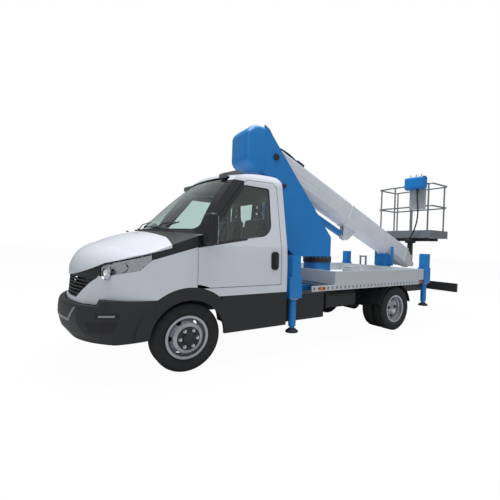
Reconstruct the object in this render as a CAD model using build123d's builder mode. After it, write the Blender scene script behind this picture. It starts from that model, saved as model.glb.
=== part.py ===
from build123d import *
from math import cos, radians, sin
import os

# A light truck that carries a telescopic work platform, parked with its boom in the cradle.
# X runs forward, Y to the left and Z up, in millimetres, from the middle of the ground below it.
# "Behind" is a distance behind the front axle, and a half is a distance from the middle plane.

os.makedirs("parts", exist_ok=True)

SIDES = (("left", 1), ("right", -1))

# Clearances
RUN_GAP = 0.3
SHUT_GAP = 6.0

# Wheels and track
WHEELBASE = 3450
TYRE_RADIUS = 348
TYRE_WIDTH = 190
RIM_SEAT_RADIUS = 203
RIM_LIP_RADIUS = 221
RIM_WIDTH = 160
RIM_WALL = 8
SPINDLE_RADIUS = 32
HUB_RADIUS = 62
FRONT_TRACK_HALF = 865
TWIN_HALF = 770
TWIN_SPACING = 230
WHEEL_SLOTS = 6

# Front suspension and steering
KINGPIN_HALF = 735
KINGPIN_RADIUS = 40
ARM_RISE = 140
ARM_THICKNESS = 40

# Chassis frame
RAIL_HALF = 400
RAIL_WIDTH = 70
RAIL_BOTTOM = 500
RAIL_TOP = 660
RAIL_WALL = 8
RAIL_FRONT = -700
RAIL_REAR = 5180
CROSSMEMBERS = (-600, 760, 1650, 2900, 4100, 5100)
CAB_MOUNTS = (260, 1080)

# Cab
CAB_HALF = 1000
CAB_BOTTOM = 680
CAB_BACK = 1200
CAB_WALL = 60
PANEL = 40
FIREWALL_FRONT = 75
FIREWALL = 35
SKIRT_TOP = 755
CHIN_TOP = 700
CHIN_BEHIND = -790
ARCH_RADIUS = 515
ARCH_LIP_RADIUS = 430
LIP_RADIUS = 385
LIP_HALF = 960
ARCH_INNER_HALF = 550
LINER = 12
DOOR_BOTTOM = 850
DOOR_REAR = 1108
GLASS = 6
GLASS_DEPTH = 14
NOSE_CORNER_RADIUS = 600
NOSE_CORNER_ANGLE = 52
NOSE_CORNER_BEHIND = -250

# Boom, turret and slewing ring
BOOM_ANGLE = 22.7
PIVOT_BEHIND = 1500
PIVOT_Z = 2600
SLEW_BEHIND = 2580
RING_RADIUS = 240
RING_BOTTOM = 1060
RING_TOP = 1160
CHEEK_HALF = 240
CHEEK = 24
PIVOT_PIN_RADIUS = 40

# Jacks: name, behind, bottom and top of the housing, underside of the foot
JACK_HALF = 930
JACK_HOUSING = 130
JACK_LEG_RADIUS = 48
JACK_FOOT_RADIUS = 80
JACK_BEHIND_AXLE = 870
JACKS = (
    ("front", 1350, 660, 1190, 231),
    ("rear", WHEELBASE + JACK_BEHIND_AXLE, 736, 1252, 329),
)

# Bed
BED_FRONT = 2020
BED_BEHIND_AXLE = 740
BED_REAR = WHEELBASE + BED_BEHIND_AXLE
BED_HALF = 1000
BED_WALL = 25
BED_SIDE_BOTTOM = 800
BED_SIDE_TOP = 985
DECK = 30
SUBFRAME_TOP = 740

# Basket
BASKET_WIDTH = 1300
BASKET_DEPTH = 650
BASKET_FLOOR_BOTTOM = 1570
BASKET_FLOOR = 28
TOE_BOARD_TOP = 1725
BASKET_RAIL_RADIUS = 16
BASKET_RAILS = (2215, 2660)

BOOM_COS = cos(radians(BOOM_ANGLE))
BOOM_SIN = sin(radians(BOOM_ANGLE))

# Boom sections: walls, sizes of the outer one, and ends along the boom from its pivot
BOOM_WALL = 8
BOOM_PLAY = 14
BOOM_RISE = 20
BOOM_HALF_WIDTH = 150
BOOM_HALF_HEIGHT = 190
BOOM_ROOT = -220
OUTER_END = 3740
MID_END = 3860
INNER_END = 3990
TIP_PIN = 4130
TIP_PIN_RADIUS = 25

TIP_BEHIND = PIVOT_BEHIND + TIP_PIN * BOOM_COS
TIP_Z = PIVOT_Z - TIP_PIN * BOOM_SIN
FRONT_OVERHANG = 1072
REAR_REACH = TIP_BEHIND + BASKET_DEPTH / 2
FRONT_AXLE_X = (REAR_REACH - FRONT_OVERHANG) / 2
REAR_AXLE_X = FRONT_AXLE_X - WHEELBASE


def at(behind):
    """Return the X of a distance behind the front axle."""
    return FRONT_AXLE_X - behind


def side_points(*points):
    """Turn points given as behind and height into points of a side view."""
    return [(at(behind), height) for behind, height in points]


def keep(name, part):
    """Label a finished piece and write it."""
    part.label = name
    export_step(part, f"parts/{name}.step")


def side_prism(points, near, far):
    """Return the solid between two values of Y whose side view has the given points."""
    with BuildPart() as prism:
        with BuildSketch(Plane.XZ.offset(-near)):
            with BuildLine():
                Polyline(*side_points(*points), close=True)
            make_face()
        extrude(amount=near - far)
    return prism.part


def block(behind, half, height):
    """Return a box between pairs of behind, Y and height."""
    with BuildPart() as box:
        with BuildSketch(Plane.XY.offset(height[0])):
            with BuildLine():
                Polyline(
                    (at(behind[0]), half[0]), (at(behind[1]), half[0]),
                    (at(behind[1]), half[1]), (at(behind[0]), half[1]), close=True)
            make_face()
        extrude(amount=height[1] - height[0])
    return box.part


def rod(start, end, radius):
    """Return a round bar between two points in space."""
    axis = Vector(*end) - Vector(*start)
    with BuildPart() as bar:
        with BuildSketch(Plane(origin=start, z_dir=axis)):
            Circle(radius)
        extrude(amount=axis.length)
    return bar.part


# Cab volume
# Each row: behind and height on the middle plane, behind and height at the side, and the way inwards.
CAB_KNOTS = {
    "chin": (-1000, CAB_BOTTOM, -640, CAB_BOTTOM, 1.0, 1.0),
    "lip": (-980, 1010, -585, 1010, 1.0, -0.2),
    "nose": (-905, 1185, -540, 1110, 0.85, -0.53),
    "brow": (-740, 1290, -440, 1175, 0.45, -0.9),
    "bonnet": (-510, 1383, -140, 1296, 0.3, -0.95),
    "scuttle": (-276, 1435, 170, 1399, 0.5, -0.89),
    "screen": (95, 1818, 370, 1745, 0.69, -0.73),
    "screen_top": (500, 2165, 600, 2065, 0.39, -1.0),
    "roof": (810, 2212, 860, 2122, 0.0, -1.0),
    "roof_rear": (1120, 2215, 1120, 2130, 0.0, -1.0),
    "back_corner": (CAB_BACK - 23, 2192, CAB_BACK - 23, 2106, -0.7, -0.7),
    "back_top": (CAB_BACK, 2140, CAB_BACK, 2050, -1.0, 0.0),
    "back_foot": (CAB_BACK, CAB_BOTTOM, CAB_BACK, CAB_BOTTOM, -1.0, 1.0),
}
# Half of the cab from the front: half width and height at the skirt, belt, cantrail and roof
WAIST_Z = 940
BELT_HALF = 985
BELT_Z = 1290
CANTRAIL_HALF = 845
CANTRAIL_Z = 2010
ROOF_EDGE_HALF = 720
ROOF_EDGE_Z = 2185


def cab_section(y, inset):
    """Return the side view of the cab at one Y, drawn in by an inset."""
    column = 0 if y == 0 else 2
    spot = {}
    for name, knot in CAB_KNOTS.items():
        spot[name] = (at(knot[column] + inset * knot[4]), knot[column + 1] + inset * knot[5])
    with BuildSketch(Plane.XZ.offset(-y)) as section:
        with BuildLine():
            Line(spot["chin"], spot["lip"])
            ThreePointArc(spot["lip"], spot["nose"], spot["brow"])
            ThreePointArc(spot["brow"], spot["bonnet"], spot["scuttle"])
            ThreePointArc(spot["scuttle"], spot["screen"], spot["screen_top"])
            ThreePointArc(spot["screen_top"], spot["roof"], spot["roof_rear"])
            ThreePointArc(spot["roof_rear"], spot["back_corner"], spot["back_top"])
            Polyline(spot["back_top"], spot["back_foot"], spot["chin"])
        make_face()
    return section.sketch


def front_outline(inset, bottom):
    """Return the cab's outline from the front, drawn in by an inset."""
    waist = CAB_HALF - inset
    belt = (BELT_HALF - inset, BELT_Z)
    cantrail = (CANTRAIL_HALF - inset, CANTRAIL_Z)
    roof = (ROOF_EDGE_HALF - inset, ROOF_EDGE_Z - inset)
    top = ROOF_EDGE_Z + 115 - inset
    with BuildSketch(Plane.YZ) as outline:
        with BuildLine():
            Polyline((0, bottom), (waist, bottom), (waist, WAIST_Z))
            ThreePointArc((waist, WAIST_Z), (waist - 4, (WAIST_Z + BELT_Z) / 2), belt)
            Line(belt, cantrail)
            ThreePointArc(
                cantrail, (cantrail[0] - 33, CANTRAIL_Z + 100 - 0.6 * inset), roof)
            Polyline(roof, (0, top), (0, bottom))
        make_face()
        mirror(about=Plane.YZ)
    return outline.sketch


def plan_outline(inset, forward):
    """Return the cab's outline from above, with its round front corners moved forward."""
    half = CAB_HALF - inset
    radius = NOSE_CORNER_RADIUS - inset
    turn = radians(NOSE_CORNER_ANGLE)
    centre = (at(NOSE_CORNER_BEHIND - forward), CAB_HALF - NOSE_CORNER_RADIUS)
    middle = (centre[0] + radius * sin(turn / 2), centre[1] + radius * cos(turn / 2))
    end = (centre[0] + radius * sin(turn), centre[1] + radius * cos(turn))
    reach = end[1] / sin(turn)
    with BuildSketch(Plane.XY) as outline:
        with BuildLine():
            Polyline((at(CAB_BACK), 0), (at(CAB_BACK), half), (centre[0], half))
            ThreePointArc((centre[0], half), middle, end)
            Polyline(end, (end[0] + reach * cos(turn), 0), (at(CAB_BACK), 0))
        make_face()
        mirror(about=Plane.XZ)
    return outline.sketch


def cab_volume(inset):
    """Return the cab's closed outer form, drawn in by an inset."""
    with BuildPart() as volume:
        for y in (-CAB_HALF, 0, CAB_HALF):
            add(cab_section(y, inset))
        loft()
        add(extrude(front_outline(inset, CAB_BOTTOM), amount=REAR_REACH, mode=Mode.PRIVATE),
            mode=Mode.INTERSECT)
        add(extrude(plan_outline(inset, 0), amount=ROOF_EDGE_Z + 200, mode=Mode.PRIVATE),
            mode=Mode.INTERSECT)
    return volume.part


OUTER = cab_volume(0)
LINING = cab_volume(CAB_WALL)
UNDER_PANEL = cab_volume(PANEL)
GLASS_OUTER = cab_volume(GLASS_DEPTH)
GLASS_INNER = cab_volume(GLASS_DEPTH + GLASS)

# Side view lines that part the cab's panels: behind and height
BONNET_EDGE = ((-985, 945), (-730, 1100), (-41, 1297))
LAMP_REAR = -371
LAMP_REAR_Z = 1135
LAMP_HEEL = (-470, 1035)
LAMP_FRONT = (-750, 972)
LAMP_INNER_HALF = 690
DOOR_FRONT = 75
COWL_Z = 1270
FAR_FRONT = -1300
FAR_TOP = 2500


def bonnet_edge(behind):
    """Return the height of the bonnet's lower edge, which bends at the lamps."""
    nose, lamp, rear = BONNET_EDGE
    near, far = (nose, lamp) if behind < lamp[0] else (lamp, rear)
    return near[1] + (behind - near[0]) * (far[1] - near[1]) / (far[0] - near[0])


def arch(radius, near, far):
    """Return the round space of a front wheel arch between two values of Y."""
    return rod((FRONT_AXLE_X, near, TYRE_RADIUS), (FRONT_AXLE_X, far, TYRE_RADIUS), radius)


# Bonnet: its rear edge is an arc just ahead of the screen
BONNET_REAR_MIDDLE = -320
BONNET_REAR_SIDE = -190
BONNET_SIDE_HALF = 780
with BuildPart() as bonnet_space:
    with BuildSketch():
        with BuildLine():
            ThreePointArc(
                (at(BONNET_REAR_SIDE), -BONNET_SIDE_HALF),
                (at(BONNET_REAR_MIDDLE), 0),
                (at(BONNET_REAR_SIDE), BONNET_SIDE_HALF))
            Polyline(
                (at(BONNET_REAR_SIDE), BONNET_SIDE_HALF), (at(BONNET_REAR_SIDE), CAB_HALF),
                (at(FAR_FRONT), CAB_HALF), (at(FAR_FRONT), -CAB_HALF),
                (at(BONNET_REAR_SIDE), -CAB_HALF), (at(BONNET_REAR_SIDE), -BONNET_SIDE_HALF))
        make_face()
    extrude(amount=FAR_TOP)
    with BuildSketch(Plane.XZ):
        with BuildLine():
            Polyline(*side_points(
                (FAR_FRONT, bonnet_edge(FAR_FRONT)), BONNET_EDGE[1], (0, bonnet_edge(0)), (0, FAR_TOP),
                (FAR_FRONT, FAR_TOP)), close=True)
        make_face()
    extrude(amount=CAB_HALF, both=True, mode=Mode.INTERSECT)

with BuildPart() as bonnet:
    add(OUTER)
    add(UNDER_PANEL, mode=Mode.SUBTRACT)
    add(bonnet_space.part, mode=Mode.INTERSECT)
keep("bonnet", bonnet.part)

# The room that the bonnet needs in the panels round it
BONNET_ROOM = (
    bonnet_space.part
    + bonnet_space.part.moved(Location((0, 0, -SHUT_GAP)))
    + bonnet_space.part.moved(Location((-SHUT_GAP, 0, -SHUT_GAP)))
    + bonnet_space.part.moved(Location((-SHUT_GAP, 0, 0)))
)

# Room for the doors in the cab's sides
DOOR_POINTS = (
    (DOOR_FRONT, COWL_Z + 30), (170, 1420), (615, 1995), (700, 2058), (1060, 2070), (DOOR_REAR, 2020),
    (DOOR_REAR, DOOR_BOTTOM), (DOOR_FRONT, DOOR_BOTTOM),
)
DOOR_INNER_HALF = 700


def door_space(grow):
    """Return the left door's room in the cab's side, grown all round."""
    with BuildPart() as space:
        with BuildSketch(Plane.XZ.offset(-DOOR_INNER_HALF)):
            with BuildLine():
                Polyline(*side_points(*DOOR_POINTS), close=True)
            make_face()
            if grow > 0:
                offset(amount=grow, kind=Kind.INTERSECTION)
        extrude(amount=DOOR_INNER_HALF - CAB_HALF)
    return space.part


DOOR_ROOM = door_space(SHUT_GAP)
DOOR_ROOMS = DOOR_ROOM + mirror(DOOR_ROOM, about=Plane.XZ)

# Rests for the bonnet's rear corners, inside the panels
REST_BEHIND = (-260, -200)
REST_DEPTH = 15
with BuildPart() as bonnet_rests:
    add(cab_volume(REST_DEPTH))
    add(UNDER_PANEL, mode=Mode.SUBTRACT)
    add(BONNET_ROOM, mode=Mode.INTERSECT)
    add(bonnet_space.part.moved(Location((0, 0, -RUN_GAP))), mode=Mode.SUBTRACT)
    add(block(REST_BEHIND, (-CAB_HALF, CAB_HALF), (0, bonnet_edge(REST_BEHIND[1]) + PANEL)),
        mode=Mode.INTERSECT)

# Front panel with both wings: below the bonnet, ahead of the doors
SPLIT_LINE = (
    (FIREWALL_FRONT, SKIRT_TOP), (CHIN_BEHIND + 20, SKIRT_TOP), (CHIN_BEHIND, CHIN_TOP),
    (FAR_FRONT, CHIN_TOP),
)
GRILLE_TOP_HALF = 690
GRILLE_TOP_Z = 1110
GRILLE_SHOULDER_Z = 960
GRILLE_FOOT_HALF = 400
GRILLE_FOOT_Z = 740
GRILLE_BARS = 6
GRILLE_BAR_PITCH = 34
GRILLE_SLOT = 19
GRILLE_SPREAD = (GRILLE_TOP_HALF - GRILLE_FOOT_HALF) / (GRILLE_SHOULDER_Z - GRILLE_FOOT_Z)
with BuildPart() as grille_space:
    with BuildSketch(Plane.YZ.offset(at(0))):
        with BuildLine():
            Polyline(
                (-GRILLE_FOOT_HALF, GRILLE_FOOT_Z), (GRILLE_FOOT_HALF, GRILLE_FOOT_Z),
                (GRILLE_TOP_HALF, GRILLE_SHOULDER_Z), (GRILLE_TOP_HALF, GRILLE_TOP_Z),
                (-GRILLE_TOP_HALF, GRILLE_TOP_Z), (-GRILLE_TOP_HALF, GRILLE_SHOULDER_Z), close=True)
        make_face()
    extrude(amount=-FAR_FRONT)

LAMP_SPACE = side_prism(
    ((LAMP_REAR, LAMP_REAR_Z), LAMP_HEEL, LAMP_FRONT, (FAR_FRONT, LAMP_FRONT[1]),
     (FAR_FRONT, FAR_TOP), (LAMP_REAR, FAR_TOP)), LAMP_INNER_HALF, CAB_HALF)
LAMP_SPACES = LAMP_SPACE + mirror(LAMP_SPACE, about=Plane.XZ)

with BuildPart() as front_panel:
    add(OUTER)
    add(UNDER_PANEL, mode=Mode.SUBTRACT)
    with BuildSketch(Plane.XZ):
        with BuildLine():
            Polyline(*side_points(
                *SPLIT_LINE, (FAR_FRONT, FAR_TOP), (LAMP_REAR, FAR_TOP), (LAMP_REAR, LAMP_REAR_Z),
                (FIREWALL_FRONT, COWL_Z)), close=True)
        make_face()
    extrude(amount=CAB_HALF, both=True, mode=Mode.INTERSECT)
    add(BONNET_ROOM, mode=Mode.SUBTRACT)
    add(DOOR_ROOMS, mode=Mode.SUBTRACT)
    add(grille_space.part, mode=Mode.SUBTRACT)
    add(LAMP_SPACES, mode=Mode.SUBTRACT)
    add(arch(ARCH_RADIUS, -CAB_HALF, CAB_HALF), mode=Mode.SUBTRACT)
keep("front_panel", front_panel.part)

GRILLE_DEPTH = 15
with BuildPart() as grille:
    add(cab_volume(GRILLE_DEPTH))
    add(UNDER_PANEL, mode=Mode.SUBTRACT)
    add(grille_space.part, mode=Mode.INTERSECT)
    add(BONNET_ROOM, mode=Mode.SUBTRACT)
    add(LAMP_SPACES, mode=Mode.SUBTRACT)
    for number in range(GRILLE_BARS):
        foot = GRILLE_FOOT_Z + 12 + number * GRILLE_BAR_PITCH
        reach = GRILLE_FOOT_HALF + (foot - GRILLE_FOOT_Z) * GRILLE_SPREAD - 16
        if foot + GRILLE_SLOT < bonnet_edge(-960) - 2 * SHUT_GAP:
            add(block((-600, FAR_FRONT), (-reach, reach), (foot, foot + GRILLE_SLOT)), mode=Mode.SUBTRACT)
keep("grille", grille.part)

LAMP_DEPTH = 70
with BuildPart() as headlamps:
    add(OUTER)
    add(cab_volume(LAMP_DEPTH), mode=Mode.SUBTRACT)
    add(LAMP_SPACES, mode=Mode.INTERSECT)
    add(BONNET_ROOM, mode=Mode.SUBTRACT)
keep("headlamps", headlamps.part)

# Openings of the cab: screen, rear window, doors and their windows
SCREEN_FOOT_HALF = 890
SCREEN_FOOT_Z = 1448
SCREEN_TOP_HALF = 730
SCREEN_TOP_Z = 2105
SCREEN_CORNER = 60
REAR_WINDOW_WIDTH = 1100
REAR_WINDOW_HEIGHT = 480
REAR_WINDOW_Z = 1660
with BuildPart() as screen_space:
    with BuildSketch(Plane.YZ.offset(at(800))) as screen_sketch:
        with BuildLine():
            Polyline(
                (-SCREEN_FOOT_HALF, SCREEN_FOOT_Z), (SCREEN_FOOT_HALF, SCREEN_FOOT_Z),
                (SCREEN_TOP_HALF, SCREEN_TOP_Z), (-SCREEN_TOP_HALF, SCREEN_TOP_Z), close=True)
        make_face()
        fillet(screen_sketch.vertices(), SCREEN_CORNER)
    extrude(amount=800 - FAR_FRONT)
with BuildPart() as rear_window_space:
    with BuildSketch(Plane.YZ.offset(at(CAB_BACK + 100))):
        with Locations((0, REAR_WINDOW_Z)):
            RectangleRounded(REAR_WINDOW_WIDTH, REAR_WINDOW_HEIGHT, SCREEN_CORNER)
    extrude(amount=300)

WINDOWS = screen_space.part + rear_window_space.part

# Door window: the corner at its foot's rear is a long sweep
WINDOW_POINTS = ((140, 1305), (985, 1425), (1000, 1995), (660, 2000))
WINDOW_CORNER = 30
WINDOW_SWEEP = 170
with BuildPart() as window_space:
    with BuildSketch(Plane.XZ.offset(-DOOR_INNER_HALF)) as window_sketch:
        with BuildLine():
            Polyline(*side_points(*WINDOW_POINTS), close=True)
        make_face()
        fillet(window_sketch.vertices().sort_by(Axis.Y)[1], WINDOW_SWEEP)
        corners = window_sketch.vertices().sort_by(Axis.Y)
        fillet([corners[0], corners[3], corners[4]], WINDOW_CORNER)
    extrude(amount=DOOR_INNER_HALF - CAB_HALF)

with BuildPart() as door_left:
    add(OUTER)
    add(LINING, mode=Mode.SUBTRACT)
    add(door_space(0), mode=Mode.INTERSECT)
    add(window_space.part, mode=Mode.SUBTRACT)
    add(arch(ARCH_RADIUS + 30, 0, CAB_HALF), mode=Mode.SUBTRACT)
with BuildPart() as door_glass_left:
    add(GLASS_OUTER)
    add(GLASS_INNER, mode=Mode.SUBTRACT)
    add(window_space.part, mode=Mode.INTERSECT)

MIRROR_BEHIND = 140
MIRROR_HALF = 1125
MIRROR_Z = 1455
# Mirror arms: rise, and how far behind the housing's middle the foot lies
MIRROR_ARMS = ((-110, 0), (-50, 82))
with BuildPart() as fittings_left:
    with BuildSketch(Plane.XY.offset(MIRROR_Z - 155)):
        with Locations((at(MIRROR_BEHIND), MIRROR_HALF)):
            RectangleRounded(95, 190, 40)
    extrude(amount=310)
    fillet(fittings_left.faces().sort_by(Axis.Z)[-1].edges(), 30)
    fillet(fittings_left.faces().sort_by(Axis.Z)[0].edges(), 30)
    for rise, foot in MIRROR_ARMS:
        add(rod((at(MIRROR_BEHIND + foot), DOOR_INNER_HALF + 150, MIRROR_Z + rise),
                (at(MIRROR_BEHIND), MIRROR_HALF, MIRROR_Z + rise), 14))
    with BuildSketch(Plane.XZ.offset(-CAB_HALF + 60)):
        with Locations((at(1024), 1141)):
            RectangleRounded(58, 140, 24)
    extrude(amount=-80)
    add(OUTER, mode=Mode.SUBTRACT)
    add(block((900, 1150), (0, CAB_HALF - CAB_WALL), (900, 1300)), mode=Mode.SUBTRACT)
    add(block((0, 400), (0, 900), (1200, 1700)), mode=Mode.SUBTRACT)

for name, sign in SIDES:
    for label, made in (
            ("door", door_left), ("door_glass", door_glass_left), ("door_fittings", fittings_left)):
        keep(f"{label}_{name}", made.part if sign > 0 else mirror(made.part, about=Plane.XZ))

# Cab shell behind the firewall, and the dark cowl with the pillars' feet ahead of it
SKIRT_INNER_HALF = 900
HINGE_PILLAR_HALF = (690, 912)
HINGE_PILLAR_Z = (870, 1285)
HINGE_LEAF = (96, 110)
HINGE_LEAF_Z = (892, 932)
with BuildPart() as cabin:
    add(LINING)
    add(block((FIREWALL_FRONT + FIREWALL, CAB_BACK), (-CAB_HALF, CAB_HALF), (0, FAR_TOP)),
        mode=Mode.INTERSECT)
with BuildPart() as cab_shell:
    add(OUTER)
    add(cabin.part, mode=Mode.SUBTRACT)
    add(block((FIREWALL_FRONT, CAB_BACK), (-CAB_HALF, CAB_HALF), (0, FAR_TOP)), mode=Mode.INTERSECT)
    add(DOOR_ROOMS, mode=Mode.SUBTRACT)
    add(WINDOWS, mode=Mode.SUBTRACT)
    for sign in (1, -1):
        add(arch(ARCH_RADIUS, sign * ARCH_INNER_HALF, sign * CAB_HALF), mode=Mode.SUBTRACT)
        add(block((0, CAB_BACK), sorted((sign * SKIRT_INNER_HALF, sign * CAB_HALF)), (0, SKIRT_TOP)),
            mode=Mode.SUBTRACT)
        add(block((FIREWALL_FRONT, FIREWALL_FRONT + FIREWALL),
                  sorted((sign * HINGE_PILLAR_HALF[0], sign * HINGE_PILLAR_HALF[1])), HINGE_PILLAR_Z))
        add(block(HINGE_LEAF, sorted((sign * HINGE_PILLAR_HALF[0], sign * (CAB_HALF - CAB_WALL - RUN_GAP))),
                  HINGE_LEAF_Z))
keep("cab_shell", cab_shell.part)

with BuildPart() as cowl:
    add(OUTER)
    add(UNDER_PANEL, mode=Mode.SUBTRACT)
    with BuildSketch(Plane.XZ):
        with BuildLine():
            Polyline(*side_points(
                (LAMP_REAR, LAMP_REAR_Z), (FIREWALL_FRONT, COWL_Z),
                (FIREWALL_FRONT, FAR_TOP), (LAMP_REAR, FAR_TOP)), close=True)
        make_face()
    extrude(amount=CAB_HALF, both=True, mode=Mode.INTERSECT)
    add(BONNET_ROOM, mode=Mode.SUBTRACT)
    add(DOOR_ROOMS, mode=Mode.SUBTRACT)
    add(screen_space.part, mode=Mode.SUBTRACT)
    add(bonnet_rests.part)
keep("cowl", cowl.part)

with BuildPart() as cab_glass:
    add(GLASS_OUTER)
    add(GLASS_INNER, mode=Mode.SUBTRACT)
    add(WINDOWS, mode=Mode.INTERSECT)
keep("cab_glass", cab_glass.part)

# Bumper: a bent shell under the front panel
# Each row: behind and height on the middle plane, and at the side
BUMPER_KNOTS = {
    "top": (-1010, SKIRT_TOP, -660, SKIRT_TOP),
    "brow": (-1062, 690, -725, 690),
    "front": (-FRONT_OVERHANG, 610, -735, 610),
    "low": (-1045, 425, -700, 452),
    "foot": (-960, 310, -600, 365),
    "heel": (-330, 310, -330, 385),
    "back": (-330, SKIRT_TOP, -330, SKIRT_TOP),
}
BUMPER_WALL = 45


def bumper_volume(inset):
    """Return the bumper's closed form, drawn in by an inset."""
    with BuildPart() as volume:
        for y, column in ((-CAB_HALF, 2), (0, 0), (CAB_HALF, 2)):
            spot = {name: (at(knot[column] + (inset if knot[column] < -400 else 0)), knot[column + 1])
                    for name, knot in BUMPER_KNOTS.items()}
            with BuildSketch(Plane.XZ.offset(-y)):
                with BuildLine():
                    Line(spot["top"], spot["brow"])
                    ThreePointArc(spot["brow"], spot["front"], spot["low"])
                    Polyline(spot["low"], spot["foot"], spot["heel"], spot["back"], spot["top"])
                make_face()
        loft()
        add(extrude(plan_outline(inset, 95), amount=FAR_TOP, mode=Mode.PRIVATE), mode=Mode.INTERSECT)
    return volume.part


# Room for the turning front wheels, narrower behind the arches' lips
WHEEL_ROOM = arch(ARCH_LIP_RADIUS, -LIP_HALF, LIP_HALF) + arch(LIP_RADIUS, -CAB_HALF, CAB_HALF)
with BuildPart() as bumper:
    add(bumper_volume(0))
    add(bumper_volume(BUMPER_WALL), mode=Mode.SUBTRACT)
    with BuildSketch(Plane.XZ):
        with BuildLine():
            Polyline(*side_points(
                *SPLIT_LINE, (FAR_FRONT, 0), (DOOR_FRONT, 0)), close=True)
        make_face()
    extrude(amount=CAB_HALF, both=True, mode=Mode.INTERSECT)
    add(WHEEL_ROOM, mode=Mode.SUBTRACT)
keep("bumper", bumper.part)

# Sills, arch lips and wheel housings
SILL_FRONT = 352
SILL_BOTTOM = 352
SILL_INNER_HALF = 900
with BuildPart() as sills:
    for sign in (1, -1):
        near, far = sorted((sign * SILL_INNER_HALF, sign * CAB_HALF))
        add(block((SILL_FRONT, CAB_BACK), (near, far), (SILL_BOTTOM, SKIRT_TOP)))
    add(WHEEL_ROOM, mode=Mode.SUBTRACT)

ARCH_FOOT_Z = 400
with BuildPart() as arches:
    for sign in (1, -1):
        add(arch(ARCH_RADIUS - RUN_GAP, sign * ARCH_INNER_HALF, sign * CAB_HALF))
        add(arch(ARCH_RADIUS - LINER, sign * ARCH_INNER_HALF, sign * LIP_HALF), mode=Mode.SUBTRACT)
        add(arch(LIP_RADIUS, sign * ARCH_INNER_HALF, sign * CAB_HALF), mode=Mode.SUBTRACT)
    add(bumper_volume(0), mode=Mode.SUBTRACT)
    add(sills.part, mode=Mode.SUBTRACT)
    add(block((-2000, 2000), (-CAB_HALF, CAB_HALF), (-ARCH_RADIUS, ARCH_FOOT_Z)), mode=Mode.SUBTRACT)
keep("cladding", Compound(children=[*sills.part.solids(), *arches.part.solids()]))

# Cabin fittings: dash with steering wheel, seats
DASH_POINTS = ((FIREWALL_FRONT + FIREWALL, 960), (330, 960), (400, 1130), (360, 1240), (170, 1290),
               (FIREWALL_FRONT + FIREWALL, 1270))
WHEEL_BEHIND = 430
WHEEL_HALF = 400
WHEEL_Z = 1290
STEER_RADIUS = 195
STEER_TILT = 40
COLUMN = Vector(cos(radians(STEER_TILT)), 0, -sin(radians(STEER_TILT)))
with BuildPart() as dashboard:
    add(side_prism(DASH_POINTS, -880, 880))
    add(cab_volume(CAB_WALL + SHUT_GAP), mode=Mode.INTERSECT)
    add(rod((at(WHEEL_BEHIND), WHEEL_HALF, WHEEL_Z),
            tuple(Vector(at(WHEEL_BEHIND), WHEEL_HALF, WHEEL_Z) + COLUMN * 180), 38))
    with BuildSketch(Plane(origin=(at(WHEEL_BEHIND), WHEEL_HALF, WHEEL_Z), x_dir=(0, 1, 0),
                           z_dir=COLUMN.cross(Vector(0, 1, 0)))):
        with Locations((STEER_RADIUS - 15, 0)):
            Circle(16)
    revolve(axis=Axis((at(WHEEL_BEHIND), WHEEL_HALF, WHEEL_Z), tuple(COLUMN)))
    with BuildSketch(Plane(origin=(at(WHEEL_BEHIND), WHEEL_HALF, WHEEL_Z), x_dir=(0, 1, 0), z_dir=COLUMN)):
        Rectangle(2 * STEER_RADIUS - 36, 50)
        Circle(62)
    extrude(amount=18)
keep("dashboard", dashboard.part)

CABIN_FLOOR = CAB_BOTTOM + CAB_WALL
SEATS = (("driver", 420, 500), ("middle", -170, 430), ("passenger", -610, 430))
with BuildPart() as seats:
    for name, half, width in SEATS:
        with BuildSketch(Plane.XZ.offset(-half)):
            with BuildLine():
                Polyline(*side_points(
                    (560, CABIN_FLOOR + 270), (580, CABIN_FLOOR + 60), (600, CABIN_FLOOR),
                    (1000, CABIN_FLOOR), (1000, CABIN_FLOOR + 60), (1010, CABIN_FLOOR + 180),
                    (1120, CABIN_FLOOR + 915), (1060, CABIN_FLOOR + 945), (1010, CABIN_FLOOR + 895),
                    (900, CABIN_FLOOR + 310), (600, CABIN_FLOOR + 330)), close=True)
            make_face()
        extrude(amount=width / 2 - 10, both=True)
        with BuildSketch(Plane.XZ.offset(-half)):
            with BuildLine():
                Polyline(*side_points(
                    (1060, CABIN_FLOOR + 945), (1120, CABIN_FLOOR + 915), (1128, CABIN_FLOOR + 1135),
                    (1070, CABIN_FLOOR + 1145)), close=True)
            make_face()
        extrude(amount=125, both=True)
    add(cab_volume(CAB_WALL + RUN_GAP), mode=Mode.INTERSECT)
keep("seats", seats.part)

# Roof marker pods at the roof's front corners
with BuildPart() as roof_pods:
    for sign in (1, -1):
        with BuildSketch(Plane.XZ.offset(-sign * 560)):
            with BuildLine():
                Polyline(*side_points((470, 2080), (470, 2135), (640, 2195), (720, 2190), (720, 2080)),
                         close=True)
            make_face()
        extrude(amount=-sign * 110)
    add(OUTER, mode=Mode.SUBTRACT)
keep("roof_pods", roof_pods.part)

# Wheels


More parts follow.
